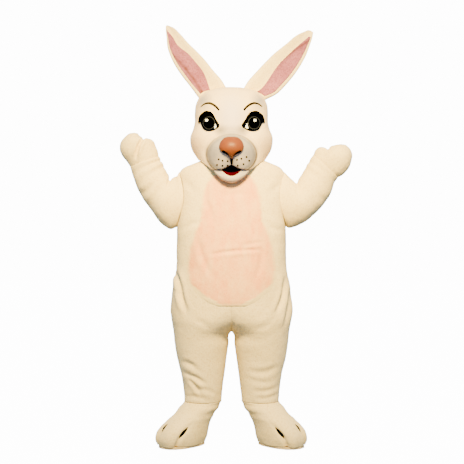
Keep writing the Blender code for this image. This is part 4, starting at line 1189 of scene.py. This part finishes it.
def make_toe_mark(side, label, mark, flip, felt):
    """A dark lens of felt between two toes."""
    bearing, middle, half_width, half_height, lean = mark
    rows = []
    reliefs = []
    for share in np.linspace(-1, 1, TOE_MARK_ROWS):
        height = middle + share * half_height
        wide = half_width * (1 - share * share) + TOE_MARK_TIP
        offsets = np.linspace(-wide, wide, TOE_MARK_COLUMNS) + lean * share * half_height
        angles = np.radians(90 + bearing) + offsets / TOE_MARK_RADIUS
        rows.append(foot_points(height, angles))
        reliefs.append(toe_relief(angles, height))
    grid = np.array(rows)
    middles = np.tile([[ANKLE_X, 0.0, FLOOR + FOOT_MIDDLE]], (TOE_MARK_ROWS, 1))
    normals = outward(grid, grid_normals(grid, False), middles)
    grid = (grid + normals * np.array(reliefs)[..., None]) * flip
    normals = normals * flip
    rise = plush_relief(grid) + TOE_MARK_LIFT
    outer = grid + normals * rise[..., None]
    inner = outer - normals * TOE_MARK_THICKNESS
    made = wall(f"toe_{side}_{label}_felt", outer, inner, False, felt)
    hard_piece(made, "black_felt", f"toe_{side}_{label}")


# ---------------------------------------------------------------- head

# Soft shapes of the face on both sides: x, z, half width, half height, and how far they stand out
FACE_BUMPS = [
    (0.150, 0.085, 0.055, 0.050, 0.008),
    (0.113, 0.188, 0.052, 0.048, -0.007),
    (0.110, 0.262, 0.060, 0.030, 0.006),
    (0.052, 0.012, 0.046, 0.038, 0.012),
    (0.000, 0.165, 0.040, 0.075, 0.016),
    (0.000, -0.012, 0.012, 0.038, -0.010),
]
# Points round the head: many across the face, fewer behind; and rings from the rim up to the crown
FACE_BEARING = 70
FACE_POINTS = 90
BACK_POINTS = 64
HEAD_LEVELS = (HEAD_LOW, 0.12, 0.30)
HEAD_LEVEL_COUNT = 56
CROWN_HEIGHT = 0.055
CROWN_LEVEL_COUNT = 30
HEAD_MIDDLE = 0.12
# The pile lies calmer on the face: how far in front it starts to grow, over what depth, and its least share
CALM_START = 0.13
CALM_DEPTH = 0.06
CALM_LEAST = 0.25
HEAD_PILE = 0.5


def snout(x, z):
    """How far the snout and the face's soft shapes stand out."""
    r = np.hypot(x / SNOUT_HALF_WIDTH, (z - SNOUT_MIDDLE) / SNOUT_HALF_HEIGHT)
    out = SNOUT_REACH * (1 - np.minimum(r, 1.0) ** SNOUT_BREADTH) ** SNOUT_SOFTNESS
    for bump_x, bump_z, half_width, half_height, height in FACE_BUMPS:
        rise = np.exp(-((np.abs(x) - bump_x) / half_width) ** 2 - ((z - bump_z) / half_height) ** 2)
        out = out + height * rise
    return out


def head_size(z):
    return [float(read(HEAD_TABLE, "z", name, z)) for name in ("half_width", "front", "back")]


def head_section(z, bearings):
    """One ring's right half; bearing 0 is straight ahead."""
    half_width, front, back = head_size(z)
    turn = np.radians(bearings)
    x = half_width * np.abs(np.sin(turn)) ** (2 / HEAD_SQUARENESS)
    depth = np.where(np.cos(turn) > 0, -front, back)
    fade = np.clip(np.cos(turn) * 4, 0, 1)
    y = depth * np.abs(np.cos(turn)) ** (2 / HEAD_SQUARENESS) - snout(x, z) * fade
    return np.stack([x, y, np.full_like(x, z)], axis=-1)


def rim_points(bearings):
    """Lower edge of the head: along the mouth in front, then round the neck of the suit."""
    last = RIM[-1]
    table_part = np.stack([read(RIM_TABLE, "bearing", name, bearings) for name in ("x", "y", "z")], axis=-1)
    points = []
    for bearing, given in zip(bearings, table_part):
        if bearing <= last[0]:
            points.append(given)
            continue
        toward = -1 if bearing < 90 else 1
        neck = section_points(last[3], np.array([math.radians(abs(90 - bearing))]), toward)[0]
        away = neck * np.array([1.0, 1.0, 0.0])
        points.append(neck + away / np.linalg.norm(away) * (NECK_CLEARANCE + HEAD_WALL))
    return np.array(points)


def head_grid():
    around = np.concatenate([np.linspace(0, FACE_BEARING, FACE_POINTS),
                             np.linspace(FACE_BEARING, 180, BACK_POINTS)[1:]])
    bearings = np.concatenate([around, -around[-2:0:-1]])
    sides = np.where(bearings < 0, -1.0, 1.0)
    bearings = np.abs(bearings)
    low, middle, high = HEAD_LEVELS
    crown = CROWN_HEIGHT * np.sin(np.linspace(0, math.pi / 2, CROWN_LEVEL_COUNT))
    levels = np.concatenate([np.linspace(low, middle, HEAD_LEVEL_COUNT),
                             np.linspace(middle, high, HEAD_LEVEL_COUNT)[1:], high + crown[1:]])
    rim = rim_points(bearings)
    start = head_section(HEAD_LOW, bearings)
    rows = []
    for level in levels:
        share = max(0.0, 1 - (level - HEAD_LOW) / (RIM_BLEND_TOP - HEAD_LOW)) ** 2
        ring = head_section(level, bearings) + (rim - start) * share
        ring[:, 0] *= sides
        rows.append(ring)
    return np.array(rows)


def out_of_head(grid):
    """Directions that point out of the head."""
    return outward(grid, grid_normals(grid, True), np.tile([[0.0, 0.0, HEAD_MIDDLE]], (len(grid), 1)))


def make_head(cloth):
    grid = head_grid()
    normals = out_of_head(grid)
    calm = np.clip((grid[..., 1] + CALM_START) / CALM_DEPTH, CALM_LEAST, 1.0)
    relief = plush_relief(grid, HEAD_PILE) * calm
    outer = grid + normals * relief[..., None]
    inner = outer - normals * HEAD_WALL
    keep_face(outer)
    tips = (np.array([0.0, 0.0, HEAD_TOP]), np.array([0.0, 0.0, HEAD_TOP - HEAD_WALL]))
    made = wall("head_plush_shell", outer, inner, True, cloth, cap=tips)
    cloth_piece(made, "head_shell")


# Front of the finished head, kept for the pieces that lie on it, and how it is looked up
HEAD_FRONT = {}
FACE_NEIGHBOURS = 6
FACE_NEIGHBOUR_REACH = 0.0008
FACE_FRONT = -0.030


def keep_face(outer):
    """Remember the front of the finished head, so that the face pieces lie on it."""
    normals = out_of_head(outer)
    front = outer[..., 1] < FACE_FRONT
    HEAD_FRONT["points"] = outer[front]
    HEAD_FRONT["normals"] = normals[front]
    tree = KDTree(len(HEAD_FRONT["points"]))
    for k, (x, _, z) in enumerate(HEAD_FRONT["points"]):
        tree.insert((x, 0.0, z), k)
    tree.balance()
    HEAD_FRONT["tree"] = tree


def face_at(x, z):
    """Points and normals of the head seen at x, z from straight ahead."""
    x, z = np.broadcast_arrays(np.asarray(x, dtype=float), np.asarray(z, dtype=float))
    points = []
    normals = []
    for px, pz in zip(x.ravel(), z.ravel()):
        found = HEAD_FRONT["tree"].find_n((px, 0.0, pz), FACE_NEIGHBOURS)
        picked = [k for _, k, _ in found]
        weights = np.array([1 / (far + FACE_NEIGHBOUR_REACH) ** 2 for _, _, far in found])
        weights /= weights.sum()
        normal = weights @ HEAD_FRONT["normals"][picked]
        normal /= np.linalg.norm(normal)
        middle = weights @ HEAD_FRONT["points"][picked]
        y = middle[1] - ((px - middle[0]) * normal[0] + (pz - middle[2]) * normal[2]) / normal[1]
        points.append((px, y, pz))
        normals.append(normal)
    shape = (*x.shape, 3)
    return np.array(points).reshape(shape), np.array(normals).reshape(shape)


# ---------------------------------------------------------------- face

# Face shapes in front view, half of each side-to-side pair
NOSE_HALF_LINE = [(0.0000, 0.0979), (0.0230, 0.0963), (0.0383, 0.0879), (0.0502, 0.0736), (0.0555, 0.0559),
                  (0.0541, 0.0444), (0.0479, 0.0324), (0.0383, 0.0253), (0.0258, 0.0195), (0.0134, 0.0104),
                  (0.0057, 0.0023)]
NOSE_TIP = (0.0, -0.0005)
NOSTRIL = [(0.0402, 0.0338), (0.0368, 0.0367), (0.0287, 0.0367), (0.0201, 0.0310), (0.0144, 0.0214),
           (0.0120, 0.0136), (0.0172, 0.0181), (0.0249, 0.0233), (0.0354, 0.0272)]
NOSE_LIFT = 0.0008
NOSE_BULGE = 0.028
NOSE_POWER = 0.55
NOSTRIL_LIFT = 0.0018
EYE = [(0.1578, 0.1790), (0.1549, 0.1976), (0.1480, 0.2147), (0.1309, 0.2288), (0.1168, 0.2324),
       (0.0962, 0.2264), (0.0811, 0.2083), (0.0713, 0.1888), (0.0620, 0.1731), (0.0572, 0.1619),
       (0.0596, 0.1521), (0.0674, 0.1457), (0.0801, 0.1381), (0.0972, 0.1327), (0.1138, 0.1328),
       (0.1309, 0.1408), (0.1392, 0.1584), (0.1451, 0.1740), (0.1560, 0.1760)]
EYE_OUTER = 0.1578
EYE_STRETCH = {"right": 1.0, "left": 1.085}
# The eye's dome: x, z and reach of its middle, its least height and how far it rises
EYE_DOME = (0.108, 0.182, 0.056)
EYE_DOME_LEAST = 0.0010
EYE_DOME_RISE = 0.0075
# Iris: x, z, half width, half height; then the width of the grey ring round it
IRIS = (0.1042, 0.1715, 0.0285, 0.0318)
IRIS_BAND = 0.0022
SCLERA = {
    "right": [(0.0740, 0.1672), (0.0712, 0.1594), (0.0698, 0.1530), (0.0730, 0.1470), (0.0800, 0.1450),
              (0.0772, 0.1560)],
    "left": [(0.0716, 0.1684), (0.0665, 0.1594), (0.0640, 0.1526), (0.0690, 0.1455), (0.0780, 0.1435),
             (0.0752, 0.1548)],
}
HIGHLIGHT = {"right": (0.1132, 0.1838, 0.0068, 0.0072), "left": (0.1068, 0.1838, 0.0068, 0.0072)}
BROW = [(0.1486, 0.2537), (0.1339, 0.2645), (0.1177, 0.2696), (0.1020, 0.2680), (0.0849, 0.2597),
        (0.0701, 0.2469), (0.0594, 0.2332)]
BROW_HALF_WIDTH = 0.0056
BROW_LIFT = 0.0010
BROW_BLUNT = 0.25
WHISKER_DOTS = [(-0.0603, -0.0045), (-0.0418, -0.0109), (-0.0184, -0.0130), (-0.0681, -0.0306),
                (-0.0427, -0.0346), (-0.0190, -0.0340), (0.0260, -0.0070), (0.0463, -0.0018),
                (0.0707, 0.0067), (0.0836, -0.0102), (0.0565, -0.0272), (0.0300, -0.0340)]
WHISKER_DOT_RADIUS = 0.0042
WHISKER_DOT_LIFT = 0.0006
WHISKER_DOT_POINTS = 10
PHILTRUM = [(0.0000, -0.0005), (0.0005, -0.0120), (0.0010, -0.0230), (0.0000, -0.0292)]
PHILTRUM_HALF_WIDTH = 0.0066
PHILTRUM_LIFT = 0.0012
PHILTRUM_BLUNT = 0.35
STROKE_POINTS = 60
STROKE_COLUMNS = 7
STROKE_FAR_END = 0.96
STROKE_FULLNESS = 0.6
STROKE_CROWN = 0.0006
STROKE_UNDER = 0.0002
PAINT_DEPTH = 0.0008
PATCH_RINGS = 14
PATCH_POINTS = 72


def closed_curve(points, count):
    """Smooth closed outline through the given points."""
    ring = np.array(points)
    padded = np.concatenate([ring[-3:], ring, ring[:3]])
    keys = np.arange(-3, len(ring) + 3, dtype=float)
    return hermite(keys, padded, np.linspace(0, len(ring), count, endpoint=False))


def flat_face(x, z):
    return 0.0


def face_patch(name, outline, lift, bulge, finish, slot, nodes=(), depth=PAINT_DEPTH, rings=PATCH_RINGS,
               count=PATCH_POINTS, base=flat_face, power=0.5):
    """A painted or moulded shape on the face: the outline filled in, moved out and domed."""
    ring = closed_curve(outline, count)
    middle = ring.mean(axis=0)
    shares = np.sin(np.linspace(math.pi / 2, 0, rings + 1))[:-1]

    def at(x, z, share, out):
        rise = lift + out * (bulge * (1 - share ** 2) ** power + depth) + base(x, z)
        points, normals = face_at(x, z)
        return points + normals * (np.zeros_like(x) + rise)[..., None]

    outer = []
    under = []
    for share in shares:
        flat = middle + (ring - middle) * share
        outer.append(at(flat[:, 0], flat[:, 1], share, 1.0))
        under.append(at(flat[:, 0], flat[:, 1], share, 0.0))
    x = np.array([middle[0]])
    z = np.array([middle[1]])
    tips = (at(x, z, 0.0, 1.0)[0], at(x, z, 0.0, 0.0)[0])
    made = wall(name, np.array(outer), np.array(under), True, finish, cap=tips)
    return hard_piece(made, slot, *nodes)


def stroke(name, line, half_width, lift, finish, slot, blunt):
    """A painted stroke that tapers at its ends."""
    keys = np.arange(len(line), dtype=float)
    fine = hermite(keys, np.array(line), np.linspace(0, len(line) - 1, STROKE_POINTS))
    along = np.gradient(fine, axis=0)
    along /= np.linalg.norm(along, axis=1, keepdims=True)
    aside = np.stack([-along[:, 1], along[:, 0]], axis=-1)
    share = np.linspace(0, 1, len(fine))
    widths = half_width * np.sin(math.pi * (blunt + (STROKE_FAR_END - blunt) * share)) ** STROKE_FULLNESS
    across = np.linspace(-1, 1, STROKE_COLUMNS)
    flat = fine[:, None, :] + aside[:, None, :] * (widths[:, None] * across[None, :])[..., None]
    surface, normals = face_at(flat[..., 0], flat[..., 1])
    outer = surface + normals * (lift + STROKE_CROWN * (1 - across ** 2))[None, :, None]
    inner = surface + normals * STROKE_UNDER
    made = wall(name, outer, inner, False, finish)
    return hard_piece(made, slot)


def ellipse(middle_x, middle_z, half_width, half_height, count=24):
    turns = np.linspace(0, 2 * math.pi, count, endpoint=False)
    return [(middle_x + half_width * math.cos(t), middle_z + half_height * math.sin(t)) for t in turns]


def eye_dome(side):
    """Height of the eye's dome over the face, shared by what is painted on it."""
    middle_x, middle_z, reach = EYE_DOME

    def rise(x, z):
        r = np.hypot((side * x - middle_x) / reach, (z - middle_z) / reach)
        return EYE_DOME_LEAST + EYE_DOME_RISE * np.sqrt(np.maximum(0.0, 1 - np.minimum(r, 1.0) ** 2))
    return rise


def make_eye(side, label, finishes):
    """The black eye patch with its lashes, and on it the white, the iris in its ring and the highlight."""
    turn = np.array([side, 1.0])
    dome = eye_dome(side)
    lashes = np.array(EYE)
    lashes[:, 0] = EYE_OUTER + (lashes[:, 0] - EYE_OUTER) * EYE_STRETCH[label]
    face_patch(f"eye_{label}_black", lashes * turn, 0.0, 0.0, finishes["black"], "black_gloss",
               (f"eye_{label}",), base=dome, rings=20, count=96, depth=0.0012)
    iris = ellipse(IRIS[0], IRIS[1], IRIS[2] - IRIS_BAND, IRIS[3] - IRIS_BAND)
    # Part, outline, lift, bulge, finish, depth
    painted = [
        ("white", SCLERA[label], 0.0012, 0.0, "white", 0.0005),
        ("ring", ellipse(*IRIS), 0.0013, 0.0, "ring", 0.0006),
        ("iris", iris, 0.0020, 0.0010, "black", 0.0005),
        ("highlight", ellipse(*HIGHLIGHT[label]), 0.0036, 0.0, "white", 0.0004),
    ]
    for part, outline, lift, bulge, finish, depth in painted:
        face_patch(f"eye_{label}_{part}", np.array(outline) * turn, lift, bulge, finishes[finish],
                   "black_gloss", base=dome, depth=depth)


def nose_outline():
    left = [(-x, z) for x, z in NOSE_HALF_LINE[:0:-1]]
    return [*NOSE_HALF_LINE, NOSE_TIP, *left]


def nose_rise(x, z):
    """Height of the nose over the face, for the nostrils that lie on it."""
    ring = closed_curve(nose_outline(), 96)
    middle = ring.mean(axis=0)
    bearings = np.arctan2(ring[:, 1] - middle[1], ring[:, 0] - middle[0])
    order = np.argsort(bearings)
    reaches = np.hypot(*(ring - middle).T)[order]
    away = np.hypot(x - middle[0], z - middle[1])
    limit = np.interp(np.arctan2(z - middle[1], x - middle[0]), bearings[order], reaches)
    share = np.minimum(away / limit, 1.0)
    return NOSE_BULGE * (1 - share ** 2) ** NOSE_POWER


def make_face(finishes):
    """Nose, eyes, brows, nostrils, whisker dots and the line from nose to mouth."""
    face_patch("nose_vinyl", nose_outline(), NOSE_LIFT, NOSE_BULGE, finishes["coral"], "coral_vinyl",
               ("nose",), rings=24, count=96, power=NOSE_POWER)
    for side, label in ((1.0, "left"), (-1.0, "right")):
        make_eye(side, label, finishes)
        line = [(side * x, z) for x, z in BROW[::-1]]
        stroke(f"brow_{label}", line, BROW_HALF_WIDTH, BROW_LIFT, finishes["brow"], "black_felt", BROW_BLUNT)
        hole = [(side * x, z) for x, z in NOSTRIL]
        face_patch(f"nostril_{label}", hole, NOSTRIL_LIFT, 0.0, finishes["black"], "black_felt",
                   base=nose_rise)
    for k, (x, z) in enumerate(WHISKER_DOTS):
        dot = ellipse(x, z, WHISKER_DOT_RADIUS, WHISKER_DOT_RADIUS, WHISKER_DOT_POINTS)
        face_patch(f"whisker_dot_{k}", dot, WHISKER_DOT_LIFT, WHISKER_DOT_LIFT, finishes["dot"],
                   "black_felt", rings=3, count=16)
    stroke("philtrum", PHILTRUM, PHILTRUM_HALF_WIDTH, PHILTRUM_LIFT, finishes["felt"], "black_felt",
           PHILTRUM_BLUNT)


# ---------------------------------------------------------------- jaw and mouth

JAW_ROWS = 30
JAW_COLUMNS = 61
JAW_PILE = 0.4
# From a jaw row's middle to a point inside the chin
JAW_INSIDE = (0.0, 0.050, 0.030)
LIP_HALF_WIDTH = 0.052
LIP_ROWS = 10
LIP_LEAST = 0.0012
LIP_HEIGHT = 0.0145
LIP_PUFF = 0.0030
LIP_PUFF_START = 0.25
LIP_LEAN = 0.003
# The lip stands this far behind and above the jaw's edge
LIP_BEHIND = 0.0005
LIP_ABOVE = 0.0006
LIP_THICKNESS = 0.0045
LINING_ROWS = 16
LINING_FROM = (0.0, 0.0075, 0.0010)
LINING_UP_TO = (0.0, 0.020, -0.022)
LINING_BOW = (0.0, 0.012, 0.0)


def jaw_rows(columns):
    b = np.linspace(-1, 1, columns)
    rows = []
    for middle_y, corner_y, middle_z, corner_z in JAW:
        rows.append(np.stack([JAW_HALF_WIDTH * b, middle_y + (corner_y - middle_y) * b * b,
                              middle_z + (corner_z - middle_z) * b * b], axis=-1))
    x = rows[0][:, 0]
    rows[0][:, 2] = np.minimum(MOUTH_LOW + MOUTH_CURVE * x * x, JAW[0][3] + JAW_TUCK * (1 - b * b))
    return np.array(rows)


def make_jaw(cloth):
    """The grey chin; returns its upper edge, which the lip and the lining follow."""
    rings = jaw_rows(JAW_COLUMNS)
    stations = np.arange(len(rings), dtype=float)
    grid = hermite(stations, rings, np.linspace(0, len(rings) - 1, JAW_ROWS))
    middles = grid.mean(axis=1) + np.array(JAW_INSIDE)
    normals = outward(grid, grid_normals(grid, False), middles)
    outer = grid + normals * plush_relief(grid, JAW_PILE)[..., None]
    inner = outer - normals * CLOTH
    made = wall("jaw_plush", outer, inner, False, cloth)
    cloth_piece(made, "jaw")
    return grid[0]


def make_lip(jaw_edge, finish):
    """The red lip, highest in its middle, along the jaw's upper edge."""
    edge = jaw_edge[np.abs(jaw_edge[:, 0]) < LIP_HALF_WIDTH]
    full = 1 - (edge[:, :1] / LIP_HALF_WIDTH) ** 2
    steps = np.linspace(0, 1, LIP_ROWS)[:, None, None]
    tall = LIP_LEAST + LIP_HEIGHT * full[None]
    roll = LIP_PUFF_START + (1 - LIP_PUFF_START) * steps
    puff = LIP_PUFF * np.sin(math.pi * np.clip(roll, 0, 1)) * full[None] ** 0.5
    back_step = (LIP_BEHIND - puff + LIP_LEAN * steps) * np.array([0.0, 1.0, 0.0])
    up_step = (LIP_ABOVE + tall * steps) * np.array([0.0, 0.0, 1.0])
    front = edge[None] + back_step + up_step
    made = wall("lip_vinyl", front, front + np.array([0.0, LIP_THICKNESS, 0.0]), False, finish)
    hard_piece(made, "red_vinyl", "lip")


def make_mouth_lining(jaw_edge, finish):
    """The dark sheet behind the mouth, from the jaw's edge up into the snout."""
    low = jaw_edge[2:-2] + np.array(LINING_FROM)
    high = low * np.array([1.0, 1.0, 0.0]) + np.array(LINING_UP_TO)
    steps = np.linspace(0, 1, LINING_ROWS)[:, None, None]
    hollow = np.array(LINING_BOW) * np.sin(math.pi * steps)
    lining = low[None] * (1 - steps) + high[None] * steps + hollow
    made = wall("mouth_lining_felt", lining, lining + np.array([0.0, CLOTH, 0.0]), False, finish)
    hard_piece(made, "black_felt", "mouth_lining")


# ---------------------------------------------------------------- ears

EAR_ROWS = 96
EAR_COLUMNS = 96
EAR_PILE = 0.35
EAR_CORE = 0.25
EAR_TIP = 0.003
EAR_FOOT_SINK = 0.004
HOLLOW_POWER = 1.5
LINING_COLUMNS = 44
LINING_SEARCH = 91
EAR_COLUMN_TURN = 30
# Where the lining fades into the ear: shares across, ear rows along
LINING_SIDE_FADE = 0.10
LINING_END_FADE = 0.25
LINING_RISE = 0.0018
LINING_LIFT = 0.0012
LINING_UNDER = 0.0002
LINING_PILE = 0.8
# From a lining row's middle to a point inside the ear
LINING_INSIDE = (0.0, 0.08, 0.0)
CROWN_SEARCH_STEPS = 30


def head_top_z(x, y):
    """Height of the head's crown over a point."""
    low, high = HEAD_MIDDLE, HEAD_TOP
    for _ in range(CROWN_SEARCH_STEPS):
        z = (low + high) / 2
        half_width, front, back = head_size(z)
        depth = front if y < 0 else back
        inside = (abs(x) / half_width) ** HEAD_SQUARENESS + (abs(y) / depth) ** HEAD_SQUARENESS
        if inside < 1:
            low = z
        else:
            high = z
    return low


def ear_surface(side, angles, where):
    """Ear rings at the given rows; the first half turn is the ear's front, from the outer edge inward."""
    rings = []
    for outer_x, outer_z, inner_x, inner_z, half_depth, y in EARS[side]:
        share = (1 - np.cos(angles)) / 2
        front = np.sin(angles) > 0
        hollow = np.where(front, EAR_HOLLOW * np.sin(np.pi * share) ** HOLLOW_POWER * half_depth, 0.0)
        rings.append(np.stack([outer_x + (inner_x - outer_x) * share,
                               y - half_depth * np.sin(angles) + hollow,
                               outer_z + (inner_z - outer_z) * share], axis=-1))
    rings = np.array(rings)
    rings[0, :, 2] = [head_top_z(x, y) - EAR_FOOT_SINK for x, y in rings[0, :, :2]]
    keys = run_of(rings)
    return hermite(keys, rings, np.interp(where, np.arange(len(keys)), keys))


def make_ear(side, cloth):
    flip = np.array([1.0 if side == "left" else -1.0, 1.0, 1.0])
    angles = np.linspace(0, 2 * math.pi, EAR_COLUMNS, endpoint=False)
    grid = ear_surface(side, angles, np.linspace(0, len(EARS[side]) - 1, EAR_ROWS))
    normals = outward(grid, grid_normals(grid, True), grid.mean(axis=1))
    outer = (grid + normals * plush_relief(grid, EAR_PILE)[..., None]) * flip
    centre = outer.mean(axis=1)[:, None, :]
    inner = outer + (centre - outer) * EAR_CORE
    tips = (centre[-1, 0] + np.array([0.0, 0.0, EAR_TIP]), centre[-1, 0])
    made = wall(f"ear_{side}_plush", outer, inner, True, cloth, cap=tips)
    hard_piece(made, "cream_plush", f"ear_{side}")


def make_ear_lining(side, pink):
    """The pink front of an ear, laid on the ear's own surface."""
    flip = np.array([1.0 if side == "left" else -1.0, 1.0, 1.0])
    rows, limits = np.array(EAR_LININGS[side]).T
    where = np.linspace(rows[0], rows[-1], EAR_ROWS)
    inner_edge = hermite(rows, limits, where)
    even = np.linspace(0, 1, LINING_COLUMNS)
    turns = np.linspace(0, math.pi, LINING_SEARCH)
    dense = ear_surface(side, turns, where)
    face = []
    for ring, limit in zip(dense, inner_edge):
        wanted = np.radians(EAR_COLUMN_TURN * (LINING_OUTER + (limit - LINING_OUTER) * even))
        face.append(np.stack([np.interp(wanted, turns, ring[:, k]) for k in range(3)], axis=-1))
    face = np.array(face)
    out = outward(face, grid_normals(face, False), face.mean(axis=1) + np.array(LINING_INSIDE))
    edge = np.minimum(even, 1 - even) / LINING_SIDE_FADE
    ends = np.minimum(where - rows[0], rows[-1] - where) / LINING_END_FADE
    fade = np.clip(edge, 0, 1)[None, :] ** 0.5
    rise = LINING_RISE * fade * np.clip(ends, 0, 1)[:, None] ** 0.5 + LINING_LIFT
    rise = rise + np.abs(plush_relief(face, LINING_PILE))
    top = (face + out * rise[..., None]) * flip
    under = (face + out * LINING_UNDER) * flip
    made = wall(f"ear_{side}_lining", top, under, False, pink)
    cloth_piece(made, f"ear_lining_{side}")


# ---------------------------------------------------------------- studio

FLOOR_REACH = 12.0
FLOOR_DARK = (0.14, 0.16, 0.19)
FLOOR_LIGHT = (0.16, 0.18, 0.21)
FLOOR_MOTTLE = 1.5
SKY_LIGHT = 1.3
SKY_COLOUR = (0.72, 0.80, 0.98)
BACKDROP_GLOW = 14.0
BLACK = (0.0, 0.0, 0.0)
WHITE = (1.0, 1.0, 1.0)
KEY_PLACE = (0.1, -2.9, 1.75)
KEY_TARGET = (0.04, 0.0, -0.10)
KEY_SIZE = 0.7
KEY_POWER = 92
KEY_COLOUR = (1.0, 0.69, 0.23)
KEY_SPREAD = 60
CAMERA_DISTANCE = 6.0
CAMERA_HEIGHT = -0.20
VIEW_MIDDLE = (0.0025, 0.0, -0.355)
VIEW_WIDTH = 2.288


def make_floor():
    """A floor that the camera sees glowing white and that lights the costume as a dull grey."""
    reach = FLOOR_REACH
    mesh = bpy.data.meshes.new("studio_floor")
    mesh.from_pydata([(-reach, -reach, FLOOR), (reach, -reach, FLOOR), (reach, reach, FLOOR),
                      (-reach, reach, FLOOR)], [], [(0, 1, 2, 3)])
    floor = bpy.data.objects.new("studio_floor", mesh)
    bpy.context.scene.collection.objects.link(floor)
    net = Finish("pale_floor", {"Roughness": 0.9, "Emission Strength": BACKDROP_GLOW})
    net.colour(net.mix((net.noise(FLOOR_MOTTLE, 2.0) + 0.5).clip(), FLOOR_DARK, FLOOR_LIGHT))
    seen = net.add("ShaderNodeLightPath").outputs["Is Camera Ray"]
    net.feed(net.shader.inputs["Emission Color"], net.mix(seen, BLACK, WHITE))
    mesh.materials.append(net.material)


def make_sky():
    """A soft blue fill light; the camera sees a white backdrop instead."""
    world = bpy.data.worlds.new("studio")
    world.use_nodes = True
    net = Net(world.node_tree)
    backdrop = net.tree.nodes["Background"]
    seen = net.add("ShaderNodeLightPath").outputs["Is Camera Ray"]
    level = net.add("ShaderNodeMapRange", None,
                    {"Value": seen, "To Min": SKY_LIGHT, "To Max": BACKDROP_GLOW})
    net.feed(backdrop.inputs["Strength"], level.outputs[0])
    net.feed(backdrop.inputs["Color"], net.mix(seen, SKY_COLOUR, WHITE))
    bpy.context.scene.world = world


def make_key():
    """The one warm lamp, high in front."""
    data = bpy.data.lights.new("key", "AREA")
    data.shape = "RECTANGLE"
    data.size = KEY_SIZE
    data.size_y = KEY_SIZE
    data.energy = KEY_POWER
    data.color = KEY_COLOUR
    data.spread = math.radians(KEY_SPREAD)
    key = bpy.data.objects.new("key", data)
    bpy.context.scene.collection.objects.link(key)
    key.location = KEY_PLACE
    key.rotation_euler = (Vector(KEY_TARGET) - Vector(KEY_PLACE)).to_track_quat("-Z", "Y").to_euler()


def make_camera():
    camera_data = bpy.data.cameras.new("camera")
    camera = bpy.data.objects.new("camera", camera_data)
    bpy.context.scene.collection.objects.link(camera)
    camera.location = (VIEW_MIDDLE[0], -CAMERA_DISTANCE, CAMERA_HEIGHT)
    gap = Vector(VIEW_MIDDLE) - camera.location
    camera.rotation_euler = gap.to_track_quat("-Z", "Y").to_euler()
    camera_data.sensor_fit = "HORIZONTAL"
    camera_data.angle = 2 * math.atan(VIEW_WIDTH / 2 / gap.length)
    camera_data.dof.use_dof = False
    bpy.context.scene.camera = camera


def main():
    cream = plush("cream_plush", CREAM, CREAM_SHADE, CREAM_LIGHT).material
    peach = belly_plush().material
    grey = plush("grey_plush", JAW_GREY, JAW_SHADE, JAW_LIGHT).material
    head = head_plush().material
    finishes = {
        "black": smooth_coat("black_gloss", (0.0003, 0.0003, 0.0003), 0.30, specular=0.0).material,
        "white": smooth_coat("white_gloss", (0.85, 0.93, 0.98), 0.30, 0.1).material,
        "ring": smooth_coat("iris_ring", (0.028, 0.032, 0.040), 0.40, specular=0.02).material,
        "coral": smooth_coat("coral_vinyl", (0.150, 0.043, 0.012), 0.42, specular=0.18).material,
        "red": smooth_coat("red_vinyl", (0.036, 0.0, 0.001), 0.70, specular=0.0).material,
        "dot": smooth_coat("dot_paint", (0.006, 0.005, 0.003), 0.8, specular=0.02).material,
        "brow": smooth_coat("brow_paint", (0.010, 0.007, 0.002), 0.8, specular=0.02).material,
        "felt": smooth_coat("black_felt", (0.0003, 0.0003, 0.0003), 0.9, specular=0.0).material,
    }
    sole = smooth_coat("sole_sheet", (0.74, 0.58, 0.28), 0.8, specular=0.1).material
    metal = smooth_coat("zip_metal", (0.62, 0.60, 0.56), 0.35, metallic=1.0).material
    tape = smooth_coat("zip_tape", (0.80, 0.74, 0.60), 0.7).material
    make_body(cream)
    make_belly(peach)
    for side in ("left", "right"):
        make_sleeve(side, cream)
        make_mitt(side, cream)
        make_foot(side, cream, finishes["felt"], sole)
        make_ear(side, cream)
        make_ear_lining(side, ear_pink(side).material)
    make_head(head)
    make_face(finishes)
    jaw_edge = make_jaw(grey)
    make_lip(jaw_edge, finishes["red"])
    make_mouth_lining(jaw_edge, finishes["felt"])
    for node, finish in (("zip_chain", tape), ("zip_slider", metal), ("zip_pull", metal)):
        dress_node(node, finish)
    make_floor()
    make_sky()
    make_key()
    make_camera()


main()
